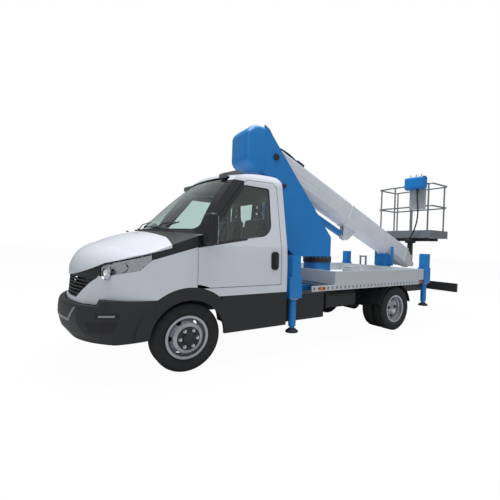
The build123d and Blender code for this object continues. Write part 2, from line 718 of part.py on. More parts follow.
def tyre(x, y):
    """Return one tyre with its tread grooves at a wheel centre."""
    half = TYRE_WIDTH / 2
    seat = RIM_SEAT_RADIUS + RUN_GAP
    crown = TYRE_RADIUS
    with BuildPart() as made:
        with BuildSketch(Plane(origin=(x, y, TYRE_RADIUS), x_dir=(0, 1, 0), z_dir=(1, 0, 0))):
            with BuildLine():
                Polyline((half - 26, seat), (half - 26, RIM_LIP_RADIUS + 4))
                ThreePointArc((half - 26, RIM_LIP_RADIUS + 4), (half, crown - 70), (half - 9, crown - 14))
                Line((half - 9, crown - 14), (half - 22, crown))
                Polyline((half - 22, crown), (half - 60, crown), (half - 62, crown - 9),
                         (half - 70, crown - 9),
                         (half - 72, crown), (72 - half, crown), (70 - half, crown - 9),
                         (62 - half, crown - 9),
                         (60 - half, crown), (22 - half, crown))
                Line((22 - half, crown), (9 - half, crown - 14))
                ThreePointArc((9 - half, crown - 14), (-half, crown - 70), (26 - half, RIM_LIP_RADIUS + 4))
                Polyline((26 - half, RIM_LIP_RADIUS + 4), (26 - half, seat), (half - 26, seat))
            make_face()
        revolve(axis=Axis((x, y, TYRE_RADIUS), (0, 1, 0)))
    return made.part


def rim(x, y, out):
    """Return one pressed steel wheel whose dish points along Y by out."""
    lip = RIM_WIDTH / 2
    seat = RIM_SEAT_RADIUS
    wall = RIM_WALL
    face = TWIN_SPACING / 2
    bore = SPINDLE_RADIUS + RUN_GAP
    profile = (
        (lip, RIM_LIP_RADIUS), (lip - 7, RIM_LIP_RADIUS), (lip - 9, seat), (25, seat), (15, seat - 13),
        (-15, seat - 13), (-25, seat), (9 - lip, seat), (7 - lip, RIM_LIP_RADIUS), (-lip, RIM_LIP_RADIUS),
        (-lip, RIM_LIP_RADIUS - wall), (4 - lip, seat - wall), (-20, seat - wall), (-10, seat - 13 - wall),
        (10, seat - 13 - wall), (24, seat - 25), (face - 27, 140), (face - 12, 110), (face - 12, bore),
        (face, bore), (face, 112), (face - 15, 150), (40, seat - 17), (32, seat - wall),
        (lip - 4, seat - wall), (lip, RIM_LIP_RADIUS - wall),
    )
    with BuildPart() as made:
        with BuildSketch(Plane(origin=(x, y, TYRE_RADIUS), x_dir=(0, 1, 0), z_dir=(1, 0, 0))):
            with BuildLine():
                Polyline(*[(out * axial, radius) for axial, radius in profile], close=True)
            make_face()
        revolve(axis=Axis((x, y, TYRE_RADIUS), (0, 1, 0)))
        with BuildSketch(Plane(origin=(x, y, TYRE_RADIUS), x_dir=(1, 0, 0), z_dir=(0, out, 0))):
            with PolarLocations((150 + seat - 17) / 2, WHEEL_SLOTS):
                SlotOverall(52, 24, rotation=90)
        extrude(amount=face, mode=Mode.SUBTRACT)
        with BuildSketch(Plane(origin=(x, y, TYRE_RADIUS), x_dir=(1, 0, 0), z_dir=(0, out, 0)).offset(40)):
            Circle(HUB_RADIUS)
            Circle(bore, mode=Mode.SUBTRACT)
        extrude(amount=face - 40)
    return made.part


for name, sign in SIDES:
    front_y = sign * FRONT_TRACK_HALF
    keep(f"tyre_front_{name}", tyre(FRONT_AXLE_X, front_y))
    keep(f"rim_front_{name}", rim(FRONT_AXLE_X, front_y, sign))
    outer_y = sign * (TWIN_HALF + TWIN_SPACING / 2)
    inner_y = sign * (TWIN_HALF - TWIN_SPACING / 2)
    keep(f"tyres_rear_{name}", Compound(children=[tyre(REAR_AXLE_X, outer_y), tyre(REAR_AXLE_X, inner_y)]))
    keep(f"rims_rear_{name}", rim(REAR_AXLE_X, outer_y, -sign) + rim(REAR_AXLE_X, inner_y, sign))

# Knuckles with their spindles
for name, sign in SIDES:
    hub_end = sign * (FRONT_TRACK_HALF + TWIN_SPACING / 2)
    post = ARM_RISE - ARM_THICKNESS / 2 - RUN_GAP
    with BuildPart() as knuckle:
        add(rod((FRONT_AXLE_X, sign * KINGPIN_HALF, TYRE_RADIUS - post),
                (FRONT_AXLE_X, sign * KINGPIN_HALF, TYRE_RADIUS + post), KINGPIN_RADIUS))
        add(rod((FRONT_AXLE_X, sign * KINGPIN_HALF, TYRE_RADIUS), (FRONT_AXLE_X, hub_end, TYRE_RADIUS),
                SPINDLE_RADIUS))
        add(rod((FRONT_AXLE_X, sign * (KINGPIN_HALF + 10), TYRE_RADIUS),
                (FRONT_AXLE_X, sign * (KINGPIN_HALF + 22), TYRE_RADIUS), post - 10))
        add(block((0, 170), sorted((sign * (KINGPIN_HALF - 35), sign * (KINGPIN_HALF - 5))),
                  (TYRE_RADIUS - 45, TYRE_RADIUS - 15)))
    keep(f"knuckle_{name}", knuckle.part)

# Front suspension: crossmember under the rails, wishbones to the kingpins
CROSS_BOTTOM = 380
CROSS_HALF_LENGTH = 90
with BuildPart() as front_suspension:
    add(block((-CROSS_HALF_LENGTH, CROSS_HALF_LENGTH), (-RAIL_HALF, RAIL_HALF),
              (CROSS_BOTTOM, RAIL_BOTTOM)))
    for sign in (1, -1):
        for rise, root in ((-ARM_RISE, RAIL_HALF - 30), (ARM_RISE, RAIL_HALF + RAIL_WIDTH / 2)):
            with BuildSketch(Plane.XY.offset(TYRE_RADIUS + rise - ARM_THICKNESS / 2)):
                with BuildLine():
                    Polyline(
                        (FRONT_AXLE_X - 110, sign * root), (FRONT_AXLE_X + 110, sign * root),
                        (FRONT_AXLE_X + 36, sign * KINGPIN_HALF), (FRONT_AXLE_X - 36, sign * KINGPIN_HALF),
                        close=True)
                make_face()
                with Locations((FRONT_AXLE_X, sign * KINGPIN_HALF)):
                    Circle(KINGPIN_RADIUS)
            extrude(amount=ARM_THICKNESS)
        foot = TYRE_RADIUS - ARM_RISE - ARM_THICKNESS / 2
        add(block((-CROSS_HALF_LENGTH, CROSS_HALF_LENGTH),
                  sorted((sign * (RAIL_HALF - 60), sign * RAIL_HALF)), (foot, CROSS_BOTTOM)))
keep("front_suspension", front_suspension.part)

# Chassis frame: two channels and the members between them
with BuildPart() as chassis_frame:
    for sign in (1, -1):
        outer = sign * (RAIL_HALF + RAIL_WIDTH / 2)
        inner = sign * (RAIL_HALF - RAIL_WIDTH / 2)
        web = sign * (RAIL_HALF + RAIL_WIDTH / 2 - RAIL_WALL)
        with BuildSketch(Plane.YZ.offset(at(RAIL_REAR))):
            with BuildLine():
                Polyline(
                    (outer, RAIL_BOTTOM), (inner, RAIL_BOTTOM), (inner, RAIL_BOTTOM + RAIL_WALL),
                    (web, RAIL_BOTTOM + RAIL_WALL), (web, RAIL_TOP - RAIL_WALL),
                    (inner, RAIL_TOP - RAIL_WALL), (inner, RAIL_TOP), (outer, RAIL_TOP), close=True)
            make_face()
        extrude(amount=RAIL_REAR - RAIL_FRONT)
    for behind in CROSSMEMBERS:
        half = RAIL_HALF + RAIL_WIDTH / 2 - RAIL_WALL
        add(block((behind - 40, behind + 40), (-half, half), (RAIL_TOP - 60, RAIL_TOP - RAIL_WALL)))
    for behind in CAB_MOUNTS:
        for sign in (1, -1):
            add(block((behind - 50, behind + 50),
                      sorted((sign * (RAIL_HALF - 35), sign * (RAIL_HALF + 35))),
                      (RAIL_TOP, CAB_BOTTOM)))
keep("chassis_frame", chassis_frame.part)

# Engine and gearbox as plain blocks on their mounts
ENGINE_HALF = 270
with BuildPart() as engine:
    add(block((-560, 45), (-ENGINE_HALF, ENGINE_HALF), (560, 1040)))
    add(block((45, 640), (-150, 150), (RAIL_BOTTOM + 5, CAB_BOTTOM - 12)))
    add(block((-330, -230), (-RAIL_HALF, RAIL_HALF), (RAIL_TOP, RAIL_TOP + 30)))
keep("engine", engine.part)

# Rear axle, springs and propeller shaft
AXLE_TUBE_RADIUS = 55
SPRING_REACH = 600
SPRING = 26
with BuildPart() as rear_axle:
    hub_end = TWIN_HALF + 70
    add(rod((REAR_AXLE_X, -hub_end, TYRE_RADIUS), (REAR_AXLE_X, hub_end, TYRE_RADIUS), SPINDLE_RADIUS))
    tube_end = TWIN_HALF - TWIN_SPACING / 2 - TYRE_WIDTH / 2 - 12
    add(rod((REAR_AXLE_X, -tube_end, TYRE_RADIUS), (REAR_AXLE_X, tube_end, TYRE_RADIUS), AXLE_TUBE_RADIUS))
    with BuildSketch(Plane.XZ.offset(-110)):
        with Locations((REAR_AXLE_X, TYRE_RADIUS)):
            Circle(150)
    extrude(amount=220)
    for sign in (1, -1):
        seat_z = TYRE_RADIUS + AXLE_TUBE_RADIUS
        with BuildSketch(Plane.XZ.offset(-sign * RAIL_HALF)):
            with BuildLine():
                ThreePointArc((REAR_AXLE_X - SPRING_REACH, RAIL_BOTTOM - 30), (REAR_AXLE_X, seat_z),
                              (REAR_AXLE_X + SPRING_REACH, RAIL_BOTTOM - 30))
                Polyline((REAR_AXLE_X + SPRING_REACH, RAIL_BOTTOM - 30),
                         (REAR_AXLE_X + SPRING_REACH, RAIL_BOTTOM),
                         (REAR_AXLE_X + SPRING_REACH - 60, RAIL_BOTTOM),
                         (REAR_AXLE_X + SPRING_REACH - 60, RAIL_BOTTOM - 30 + SPRING / 2))
                ThreePointArc((REAR_AXLE_X + SPRING_REACH - 60, RAIL_BOTTOM - 30 + SPRING / 2),
                              (REAR_AXLE_X, seat_z + SPRING),
                              (REAR_AXLE_X - SPRING_REACH + 60, RAIL_BOTTOM - 30 + SPRING / 2))
                Polyline((REAR_AXLE_X - SPRING_REACH + 60, RAIL_BOTTOM - 30 + SPRING / 2),
                         (REAR_AXLE_X - SPRING_REACH + 60, RAIL_BOTTOM),
                         (REAR_AXLE_X - SPRING_REACH, RAIL_BOTTOM),
                         (REAR_AXLE_X - SPRING_REACH, RAIL_BOTTOM - 30))
            make_face()
        extrude(amount=RAIL_WIDTH / 2, both=True)
        add(block((WHEELBASE - 60, WHEELBASE + 60),
                  sorted((sign * (RAIL_HALF - 35), sign * (RAIL_HALF + 35))), (TYRE_RADIUS, seat_z + 6)))
    add(rod((REAR_AXLE_X + 140, 0, TYRE_RADIUS + 20), (at(640), 0, RAIL_BOTTOM + 60), 38))
    add(engine.part, mode=Mode.SUBTRACT)
keep("rear_axle", rear_axle.part)

# Side boxes under the cab's rear, hung on the rails
SIDE_BOX = (1250, 1960)
SIDE_BOX_HALF = (560, 850)
SIDE_BOX_Z = (345, 684)
with BuildPart() as side_boxes:
    for sign in (1, -1):
        add(block(SIDE_BOX, sorted((sign * SIDE_BOX_HALF[0], sign * SIDE_BOX_HALF[1])), SIDE_BOX_Z))
        for behind in (1500, 1850):
            add(block((behind - 30, behind + 30),
                      sorted((sign * (RAIL_HALF + RAIL_WIDTH / 2), sign * SIDE_BOX_HALF[0])), (560, 620)))

# Tanks behind the boxes, strapped to the rails' outer faces
TANK = (2000, 2600)
TANK_HALF = (RAIL_HALF + RAIL_WIDTH / 2, 860)
TANK_Z = (450, 684)
TANK_CORNER = 60
with BuildPart() as tanks:
    for sign in (1, -1):
        add(block(TANK, sorted((sign * TANK_HALF[0], sign * TANK_HALF[1])), TANK_Z))
    fillet(tanks.edges().filter_by(Axis.X), TANK_CORNER)
keep("side_boxes", Compound(children=[*side_boxes.part.solids(), *tanks.part.solids()]))

# Outrigger frame: subframe, two beams, the four jack housings and the turret's pedestal
PEDESTAL = 380
PEDESTAL_CHAMFER = 60
BEAM = 120
COLLAR = 190
COLLAR_RISE = 270
JACK_CAP = 25
with BuildPart() as outrigger_frame:
    for sign in (1, -1):
        add(block((JACKS[0][1] - BEAM / 2, JACKS[1][1] + BEAM / 2),
                  sorted((sign * (RAIL_HALF - 35), sign * (RAIL_HALF + 35))), (RAIL_TOP, SUBFRAME_TOP)))
    for name, behind, bottom, top, foot in JACKS:
        beam_bottom = max(bottom + 4, RAIL_TOP + 30)
        add(block((behind - BEAM / 2, behind + BEAM / 2), (-JACK_HALF, JACK_HALF),
                  (beam_bottom, beam_bottom + BEAM)))
        for sign in (1, -1):
            with BuildSketch(Plane.XY.offset(bottom)):
                with Locations((at(behind), sign * JACK_HALF)):
                    Rectangle(COLLAR, JACK_HOUSING)
            extrude(amount=COLLAR_RISE)
            with BuildSketch(Plane.XY.offset(bottom)):
                with Locations((at(behind), sign * JACK_HALF)):
                    Rectangle(JACK_HOUSING, JACK_HOUSING)
            extrude(amount=top - bottom)
    for name, behind, bottom, top, foot in JACKS:
        for sign in (1, -1):
            add(rod((at(behind), sign * JACK_HALF, bottom), (at(behind), sign * JACK_HALF, top - JACK_CAP),
                    JACK_LEG_RADIUS + RUN_GAP), mode=Mode.SUBTRACT)
    base = RAIL_HALF + RAIL_WIDTH / 2 + 5
    add(block((SLEW_BEHIND - 250, SLEW_BEHIND + 250), (-base, base), (SUBFRAME_TOP, SUBFRAME_TOP + 20)))
    with BuildSketch(Plane.XY.offset(SUBFRAME_TOP + 20)) as tower:
        with Locations((at(SLEW_BEHIND), 0)):
            Rectangle(PEDESTAL, PEDESTAL)
        chamfer(tower.vertices(), PEDESTAL_CHAMFER)
    extrude(amount=RING_BOTTOM - SUBFRAME_TOP - 20)
keep("outrigger_frame", outrigger_frame.part)

JACK_HEADROOM = 10
for name, behind, bottom, top, foot in JACKS:
    for side, sign in SIDES:
        with BuildPart() as jack_leg:
            with BuildSketch(Plane(origin=(at(behind), sign * JACK_HALF, foot), x_dir=(1, 0, 0),
                                   z_dir=(0, 1, 0))):
                with BuildLine():
                    Polyline((0, 0), (JACK_FOOT_RADIUS, 0), (JACK_FOOT_RADIUS, -16),
                             (JACK_FOOT_RADIUS - 26, -36),
                             (34, -52), (34, -72), (JACK_LEG_RADIUS, -80),
                             (JACK_LEG_RADIUS, foot - top + JACK_CAP + JACK_HEADROOM),
                             (0, foot - top + JACK_CAP + JACK_HEADROOM), close=True)
                make_face()
            revolve(axis=Axis((at(behind), sign * JACK_HALF, foot), (0, 0, 1)))
        keep(f"jack_{name}_{side}", jack_leg.part)

# Slewing ring
with BuildPart() as slew_ring:
    with BuildSketch(Plane.XY.offset(RING_BOTTOM)):
        with Locations((at(SLEW_BEHIND), 0)):
            Circle(RING_RADIUS)
    extrude(amount=RING_TOP - RING_BOTTOM)
keep("slew_ring", slew_ring.part)

# Bed: deck on bearers, aluminium sides with the slotted rub rails
BEARERS = (2110, 2950, 3950)
BEARER = 60
with BuildPart() as bed_deck:
    add(block((BED_FRONT + BED_WALL, BED_REAR - BED_WALL), (BED_WALL - BED_HALF, BED_HALF - BED_WALL),
              (BED_SIDE_BOTTOM, BED_SIDE_BOTTOM + DECK)))
    for behind in BEARERS:
        add(block((behind - BEARER / 2, behind + BEARER / 2), (BED_WALL - BED_HALF, BED_HALF - BED_WALL),
                  (SUBFRAME_TOP, BED_SIDE_BOTTOM)))
    hole = PEDESTAL / 2 + SHUT_GAP
    add(block((SLEW_BEHIND - hole, SLEW_BEHIND + hole), (-hole, hole),
              (BED_SIDE_BOTTOM, BED_SIDE_BOTTOM + DECK)),
        mode=Mode.SUBTRACT)
keep("bed_deck", bed_deck.part)

RUB_FRONT = 1610
RUB_REAR = 4060
RUB_HEIGHT = 72
RUB = 22
RUB_SLOTS = 30
with BuildPart() as bed_sides:
    add(block((BED_FRONT, BED_REAR), (-BED_HALF, BED_HALF), (BED_SIDE_BOTTOM, BED_SIDE_TOP)))
    add(block((BED_FRONT + BED_WALL, BED_REAR - BED_WALL), (BED_WALL - BED_HALF, BED_HALF - BED_WALL),
              (BED_SIDE_BOTTOM, BED_SIDE_TOP)), mode=Mode.SUBTRACT)
    for sign in (1, -1):
        add(block((RUB_FRONT, RUB_REAR), sorted((sign * (BED_HALF - RUB), sign * BED_HALF)),
                  (BED_SIDE_BOTTOM - RUB_HEIGHT, BED_SIDE_BOTTOM)))
        with BuildSketch(Plane.XZ.offset(-sign * BED_HALF)):
            with Locations((at((RUB_FRONT + RUB_REAR) / 2), BED_SIDE_BOTTOM - RUB_HEIGHT / 2)):
                with GridLocations((RUB_REAR - RUB_FRONT) / RUB_SLOTS, 1, RUB_SLOTS, 1):
                    Rectangle(24, 34)
        extrude(amount=sign * RUB, mode=Mode.SUBTRACT)
keep("bed_sides", bed_sides.part)

# Rear mudguards, carried on bars from the subframe
GUARD_RADIUS = 400
GUARD = 10
GUARD_HALF = (535, 970)
with BuildPart() as mudguards:
    for sign in (1, -1):
        centre = (REAR_AXLE_X, sign * GUARD_HALF[0], TYRE_RADIUS)
        end = (REAR_AXLE_X, sign * GUARD_HALF[1], TYRE_RADIUS)
        lip = (REAR_AXLE_X, sign * (GUARD_HALF[0] + GUARD), TYRE_RADIUS)
        add(rod(centre, end, GUARD_RADIUS + GUARD))
        add(rod(lip, end, GUARD_RADIUS), mode=Mode.SUBTRACT)
        add(rod(centre, end, GUARD_RADIUS - 30), mode=Mode.SUBTRACT)
    add(block((0, 2 * WHEELBASE), (-BED_HALF, BED_HALF), (-GUARD_RADIUS, TYRE_RADIUS + 92)),
        mode=Mode.SUBTRACT)
    for sign in (1, -1):
        add(block((WHEELBASE - 40, WHEELBASE + 40),
                  sorted((sign * (RAIL_HALF + RAIL_WIDTH / 2), sign * GUARD_HALF[0])),
                  (TYRE_RADIUS + GUARD_RADIUS - 26, SUBFRAME_TOP)))
keep("mudguards", mudguards.part)

# Rear underrun bar
BAR_HALF = 1050
BAR_Z = (525, 690)
BAR = 60
BAR_FRONT = 5250
with BuildPart() as underrun_bar:
    add(block((BAR_FRONT, BAR_FRONT + BAR), (-BAR_HALF, BAR_HALF), BAR_Z))
    for sign in (1, -1):
        add(block((RAIL_REAR, BAR_FRONT), sorted((sign * (RAIL_HALF - 35), sign * (RAIL_HALF + 35))),
                  (BAR_Z[0], RAIL_TOP)))
keep("underrun_bar", underrun_bar.part)

# Boom planes: along the boom from its pivot, and across it at a distance along it
BOOM_WAY = (-BOOM_COS, 0, -BOOM_SIN)
BOOM_UP = (-BOOM_SIN, 0, BOOM_COS)
PIVOT = (at(PIVOT_BEHIND), 0, PIVOT_Z)
BOOM_SIDE = Plane(origin=PIVOT, x_dir=BOOM_WAY, z_dir=(0, 1, 0))


def boom_spot(along, up, y=0):
    """Return a point in space from its place along and above the boom's pivot line."""
    return (PIVOT[0] + along * BOOM_WAY[0] + up * BOOM_UP[0], y,
            PIVOT[2] + along * BOOM_WAY[2] + up * BOOM_UP[2])


def boom_cross(along):
    """Return the plane across the boom at a distance along it."""
    return Plane(origin=boom_spot(along, BOOM_RISE), x_dir=(0, -1, 0), z_dir=BOOM_WAY)


def boom_outline(shrink):
    """Return the boom's cross outline: upright sides whose feet fold inwards."""
    width = BOOM_HALF_WIDTH - shrink
    height = BOOM_HALF_HEIGHT - shrink
    fold = 0.3 * (BOOM_HALF_WIDTH + BOOM_HALF_HEIGHT)
    points = (
        (width, height - 24), (width - 24, height), (24 - width, height), (-width, height - 24),
        (-width, fold - 1.1 * height), (16 - width, -height * 0.72), (0.58 * -width, -height),
        (0.58 * width, -height), (width - 16, -height * 0.72), (width, fold - 1.1 * height),
    )
    return points


def boom_tube(start, end, shrink):
    """Return one hollow boom section between two distances along the boom."""
    with BuildPart() as tube:
        for depth, mode in ((shrink, Mode.ADD), (shrink + BOOM_WALL, Mode.SUBTRACT)):
            with BuildSketch(boom_cross(start)):
                with BuildLine():
                    Polyline(*boom_outline(depth), close=True)
                make_face()
            extrude(amount=end - start, mode=mode)
    return tube.part


STEP = BOOM_WALL + BOOM_PLAY
PAD = 60


def wear_pads(end, shrink):
    """Return the slide pads inside a section's mouth, above and below the next section."""
    made = []
    for up, depth in ((1, BOOM_HALF_HEIGHT - shrink - BOOM_WALL),
                      (-1, BOOM_HALF_HEIGHT - shrink - BOOM_WALL)):
        with BuildPart() as pad:
            with BuildSketch(boom_cross(end - PAD)):
                with Locations((0, up * (depth - (BOOM_PLAY - RUN_GAP) / 2))):
                    Rectangle(80, BOOM_PLAY - RUN_GAP)
            extrude(amount=PAD)
        made.append(pad.part)
    return made


# Lift cylinder pins: the foot in the turret, the eye below the boom
FOOT_BEHIND = 1660
FOOT_Z = 2200
EYE_ALONG = 2000
EYE_DROP = 330
LUG_GAP_HALF = 36
LUG = 16
EYE = boom_spot(EYE_ALONG, -EYE_DROP)
FOOT = (at(FOOT_BEHIND), 0, FOOT_Z)
LIFT_WAY = (Vector(*EYE) - Vector(*FOOT)).normalized()
LIFT_LENGTH = (Vector(*EYE) - Vector(*FOOT)).length
LIFT_SIDE = Plane(origin=FOOT, x_dir=LIFT_WAY, z_dir=(0, 1, 0))
BARREL_RADIUS = 55
LIFT_ROD_RADIUS = 34
EYE_RADIUS = 48
FOOT_PIN_RADIUS = 24

COLLAR_BAND = 70
with BuildPart() as boom_outer:
    add(boom_tube(BOOM_ROOT, OUTER_END, 0))
    for start in (1830, OUTER_END - COLLAR_BAND):
        with BuildSketch(boom_cross(start)):
            with BuildLine():
                Polyline(*boom_outline(-10), close=True)
            make_face()
            with BuildLine():
                Polyline(*boom_outline(0), close=True)
            make_face(mode=Mode.SUBTRACT)
        extrude(amount=COLLAR_BAND)
    for pad in wear_pads(OUTER_END, 0):
        add(pad)
    for sign in (1, -1):
        with BuildSketch(BOOM_SIDE.offset(sign * LUG_GAP_HALF)):
            with BuildLine():
                Polyline((EYE_ALONG - 130, BOOM_RISE - BOOM_HALF_HEIGHT), (EYE_ALONG - 55, -EYE_DROP - 60),
                         (EYE_ALONG + 55, -EYE_DROP - 60), (EYE_ALONG + 200, BOOM_RISE - BOOM_HALF_HEIGHT),
                         close=True)
            make_face()
        extrude(amount=sign * LUG)
    with BuildSketch(BOOM_SIDE):
        Circle(PIVOT_PIN_RADIUS + 26)
    extrude(amount=CHEEK_HALF - CHEEK - SHUT_GAP, both=True)
    with BuildSketch(BOOM_SIDE):
        Circle(PIVOT_PIN_RADIUS + RUN_GAP)
    extrude(amount=CHEEK_HALF, both=True, mode=Mode.SUBTRACT)
keep("boom_outer", boom_outer.part)

SECTION_START = 180
with BuildPart() as boom_mid:
    add(boom_tube(SECTION_START, MID_END, STEP))
    for pad in wear_pads(MID_END, STEP):
        add(pad)
keep("boom_mid", boom_mid.part)

TIP_LUG_HALF = 50
TIP_LUG = 18
with BuildPart() as boom_inner:
    add(boom_tube(SECTION_START + 60, INNER_END, 2 * STEP))
    with BuildSketch(boom_cross(INNER_END)):
        with BuildLine():
            Polyline(*boom_outline(2 * STEP), close=True)
        make_face()
    extrude(amount=12)
    for sign in (1, -1):
        with BuildSketch(BOOM_SIDE.offset(sign * TIP_LUG_HALF)):
            with BuildLine():
                Polyline((INNER_END + 12, -80), (TIP_PIN, -55), (TIP_PIN + 50, -30), (TIP_PIN + 50, 30),
                         (TIP_PIN, 60), (INNER_END + 12, 110), close=True)
            make_face()
        extrude(amount=sign * TIP_LUG)
    with BuildSketch(BOOM_SIDE):
        with Locations((TIP_PIN, 0)):
            Circle(TIP_PIN_RADIUS)
    extrude(amount=TIP_LUG_HALF + TIP_LUG, both=True)
keep("boom_inner", boom_inner.part)

# Lift cylinder
BARREL_MOUTH = LIFT_LENGTH - 110
with BuildPart() as lift_barrel:
    with BuildSketch(Plane(origin=FOOT, z_dir=LIFT_WAY).offset(40)):
        Circle(BARREL_RADIUS)
    extrude(amount=BARREL_MOUTH - 40)
    with BuildSketch(LIFT_SIDE):
        Circle(EYE_RADIUS)
        with Locations((35, 0)):
            Rectangle(70, 2 * EYE_RADIUS - 10)
    extrude(amount=40, both=True)
    with BuildSketch(LIFT_SIDE):
        Circle(FOOT_PIN_RADIUS + RUN_GAP)
    extrude(amount=60, both=True, mode=Mode.SUBTRACT)
    with BuildSketch(Plane(origin=FOOT, z_dir=LIFT_WAY).offset(120)):
        Circle(LIFT_ROD_RADIUS + RUN_GAP)
    extrude(amount=LIFT_LENGTH, mode=Mode.SUBTRACT)
keep("lift_barrel", lift_barrel.part)

EYE_HALF = LUG_GAP_HALF - SHUT_GAP
with BuildPart() as lift_rod:
    with BuildSketch(Plane(origin=FOOT, z_dir=LIFT_WAY).offset(140)):
        Circle(LIFT_ROD_RADIUS)
    extrude(amount=LIFT_LENGTH - 140 - 30)
    with BuildSketch(LIFT_SIDE):
        with Locations((LIFT_LENGTH, 0)):
            Circle(EYE_RADIUS - 6)
        with Locations((LIFT_LENGTH - 45, 0)):
            Rectangle(60, 56)
    extrude(amount=EYE_HALF, both=True)
    with BuildSketch(LIFT_SIDE):
        with Locations((LIFT_LENGTH, 0)):
            Circle(22)
    extrude(amount=EYE_HALF, both=True, mode=Mode.SUBTRACT)
keep("lift_rod", lift_rod.part)

# Turret: two cheeks on a base, with a rounded hood over the boom's root
TURRET_REAR = 2660
HOOD_BACK = 1300
CHEEK_POINTS = (
    (TURRET_REAR, RING_TOP + RUN_GAP), (TURRET_REAR, 1480), (1440, 2890), (1385, 2970), (HOOD_BACK, 3020),
    (HOOD_BACK, 2335), (1520, 2240), (1700, 1330), (1900, RING_TOP + RUN_GAP),
)
BASE_PLATE = 30
with BuildPart() as turret_frame:
    for sign in (1, -1):
        add(side_prism(CHEEK_POINTS, sign * (CHEEK_HALF - CHEEK), sign * CHEEK_HALF))
    inner = CHEEK_HALF - CHEEK
    add(block((1900, TURRET_REAR), (-inner, inner), (RING_TOP + RUN_GAP, RING_TOP + BASE_PLATE)))
    add(block((TURRET_REAR - 20, TURRET_REAR), (-inner, inner), (RING_TOP + BASE_PLATE, 1470)))
    add(side_prism(((TURRET_REAR, 1480), (2400, 1780.5), (2380, 1770), (TURRET_REAR - 20, 1446)), -inner,
                   inner))
    add(side_prism(((1540, 2135), (1700, 1330), (1722, 1330), (1562, 2135)), -inner, inner))
    with BuildSketch(BOOM_SIDE):
        Circle(PIVOT_PIN_RADIUS)
    extrude(amount=CHEEK_HALF + 14, both=True)
    with BuildSketch(LIFT_SIDE):
        Circle(FOOT_PIN_RADIUS)
    extrude(amount=CHEEK_HALF + 10, both=True)
keep("turret_frame", turret_frame.part)

HOOD_FRONT = 1010
HOOD_HALF = 252
HOOD_WALL = 12
HOOD_POINTS = ((HOOD_BACK, 3030), (1140, 3040), (HOOD_FRONT, 2910), (HOOD_FRONT, 2480), (1150, 2345),
               (HOOD_BACK, 2322))
with BuildPart() as turret_hood:
    add(side_prism(HOOD_POINTS, -HOOD_HALF, HOOD_HALF))
    round_edges = turret_hood.edges().filter_by(lambda e: e.center().X > at(HOOD_BACK) + 1)
    fillet(round_edges, 45)
    add(side_prism(
        ((HOOD_BACK, 3030 - HOOD_WALL), (1145, 3040 - HOOD_WALL), (HOOD_FRONT + HOOD_WALL, 2905),
         (HOOD_FRONT + HOOD_WALL, 2485), (1155, 2345 + HOOD_WALL), (HOOD_BACK, 2322 + HOOD_WALL)),
        HOOD_WALL - HOOD_HALF + 20, HOOD_HALF - HOOD_WALL - 20), mode=Mode.SUBTRACT)
keep("turret_hood", turret_hood.part)

# Cradle on the rear beam, its pad cut to the boom's slope
CRADLE_BEHIND = JACKS[1][1] + 80
CRADLE_HALF = 130
REAR_BEAM_TOP = JACKS[1][2] + 4 + BEAM


def boom_underside(behind):
    """Return the height of the boom's underside at a distance behind the front axle."""
    return PIVOT_Z - (behind - PIVOT_BEHIND) * BOOM_SIN / BOOM_COS + (BOOM_RISE - BOOM_HALF_HEIGHT) / BOOM_COS


CRADLE_REAR = CRADLE_BEHIND + 60
CRADLE_SLOPE_FRONT = CRADLE_BEHIND - 60
POST_HALF_Y = 195
POST_RADIUS = 26
POST_TOP = 1370
POST_FOOT_Z = (REAR_BEAM_TOP + 130, REAR_BEAM_TOP + 165)
cradle_pieces = [side_prism((
    (CRADLE_BEHIND - 120, REAR_BEAM_TOP),
    (CRADLE_SLOPE_FRONT, boom_underside(CRADLE_SLOPE_FRONT) - RUN_GAP),
    (CRADLE_REAR, boom_underside(CRADLE_REAR) - RUN_GAP), (CRADLE_REAR, REAR_BEAM_TOP - 30),
    (JACKS[1][1] + BEAM / 2, REAR_BEAM_TOP - 30), (JACKS[1][1] + BEAM / 2, REAR_BEAM_TOP)),
    -CRADLE_HALF, CRADLE_HALF)]
for sign in (1, -1):
    with BuildPart() as guide_post:
        add(rod((at(CRADLE_BEHIND), sign * POST_HALF_Y, POST_FOOT_Z[0]),
                (at(CRADLE_BEHIND), sign * POST_HALF_Y, POST_TOP), POST_RADIUS))
        add(block((CRADLE_BEHIND - 25, CRADLE_BEHIND + 25),
                  sorted((sign * CRADLE_HALF, sign * (POST_HALF_Y + 15))), POST_FOOT_Z))
    cradle_pieces.append(guide_post.part)
keep("cradle", Compound(children=cradle_pieces))

# Basket mount: the levelling post on the boom's tip
POST_HALF = 40
FRAME_BOTTOM = BASKET_FLOOR_BOTTOM - 55
with BuildPart() as basket_mount:
    with BuildSketch(Plane.XZ):
        with Locations((at(TIP_BEHIND), TIP_Z)):
            Circle(46)
        with Locations((at(TIP_BEHIND), (TIP_Z + FRAME_BOTTOM) / 2)):
            Rectangle(2 * POST_HALF, FRAME_BOTTOM - TIP_Z)
    extrude(amount=TIP_LUG_HALF - SHUT_GAP, both=True)
    with BuildSketch(Plane.XY.offset(FRAME_BOTTOM - 45)):
        with Locations((at(TIP_BEHIND), 0)):
            Circle(110)
    extrude(amount=45 - RUN_GAP)
    with BuildSketch(Plane.XZ):
        with Locations((at(TIP_BEHIND), TIP_Z)):
            Circle(TIP_PIN_RADIUS + RUN_GAP)
    extrude(amount=TIP_LUG_HALF, both=True, mode=Mode.SUBTRACT)
keep("basket_mount", basket_mount.part)

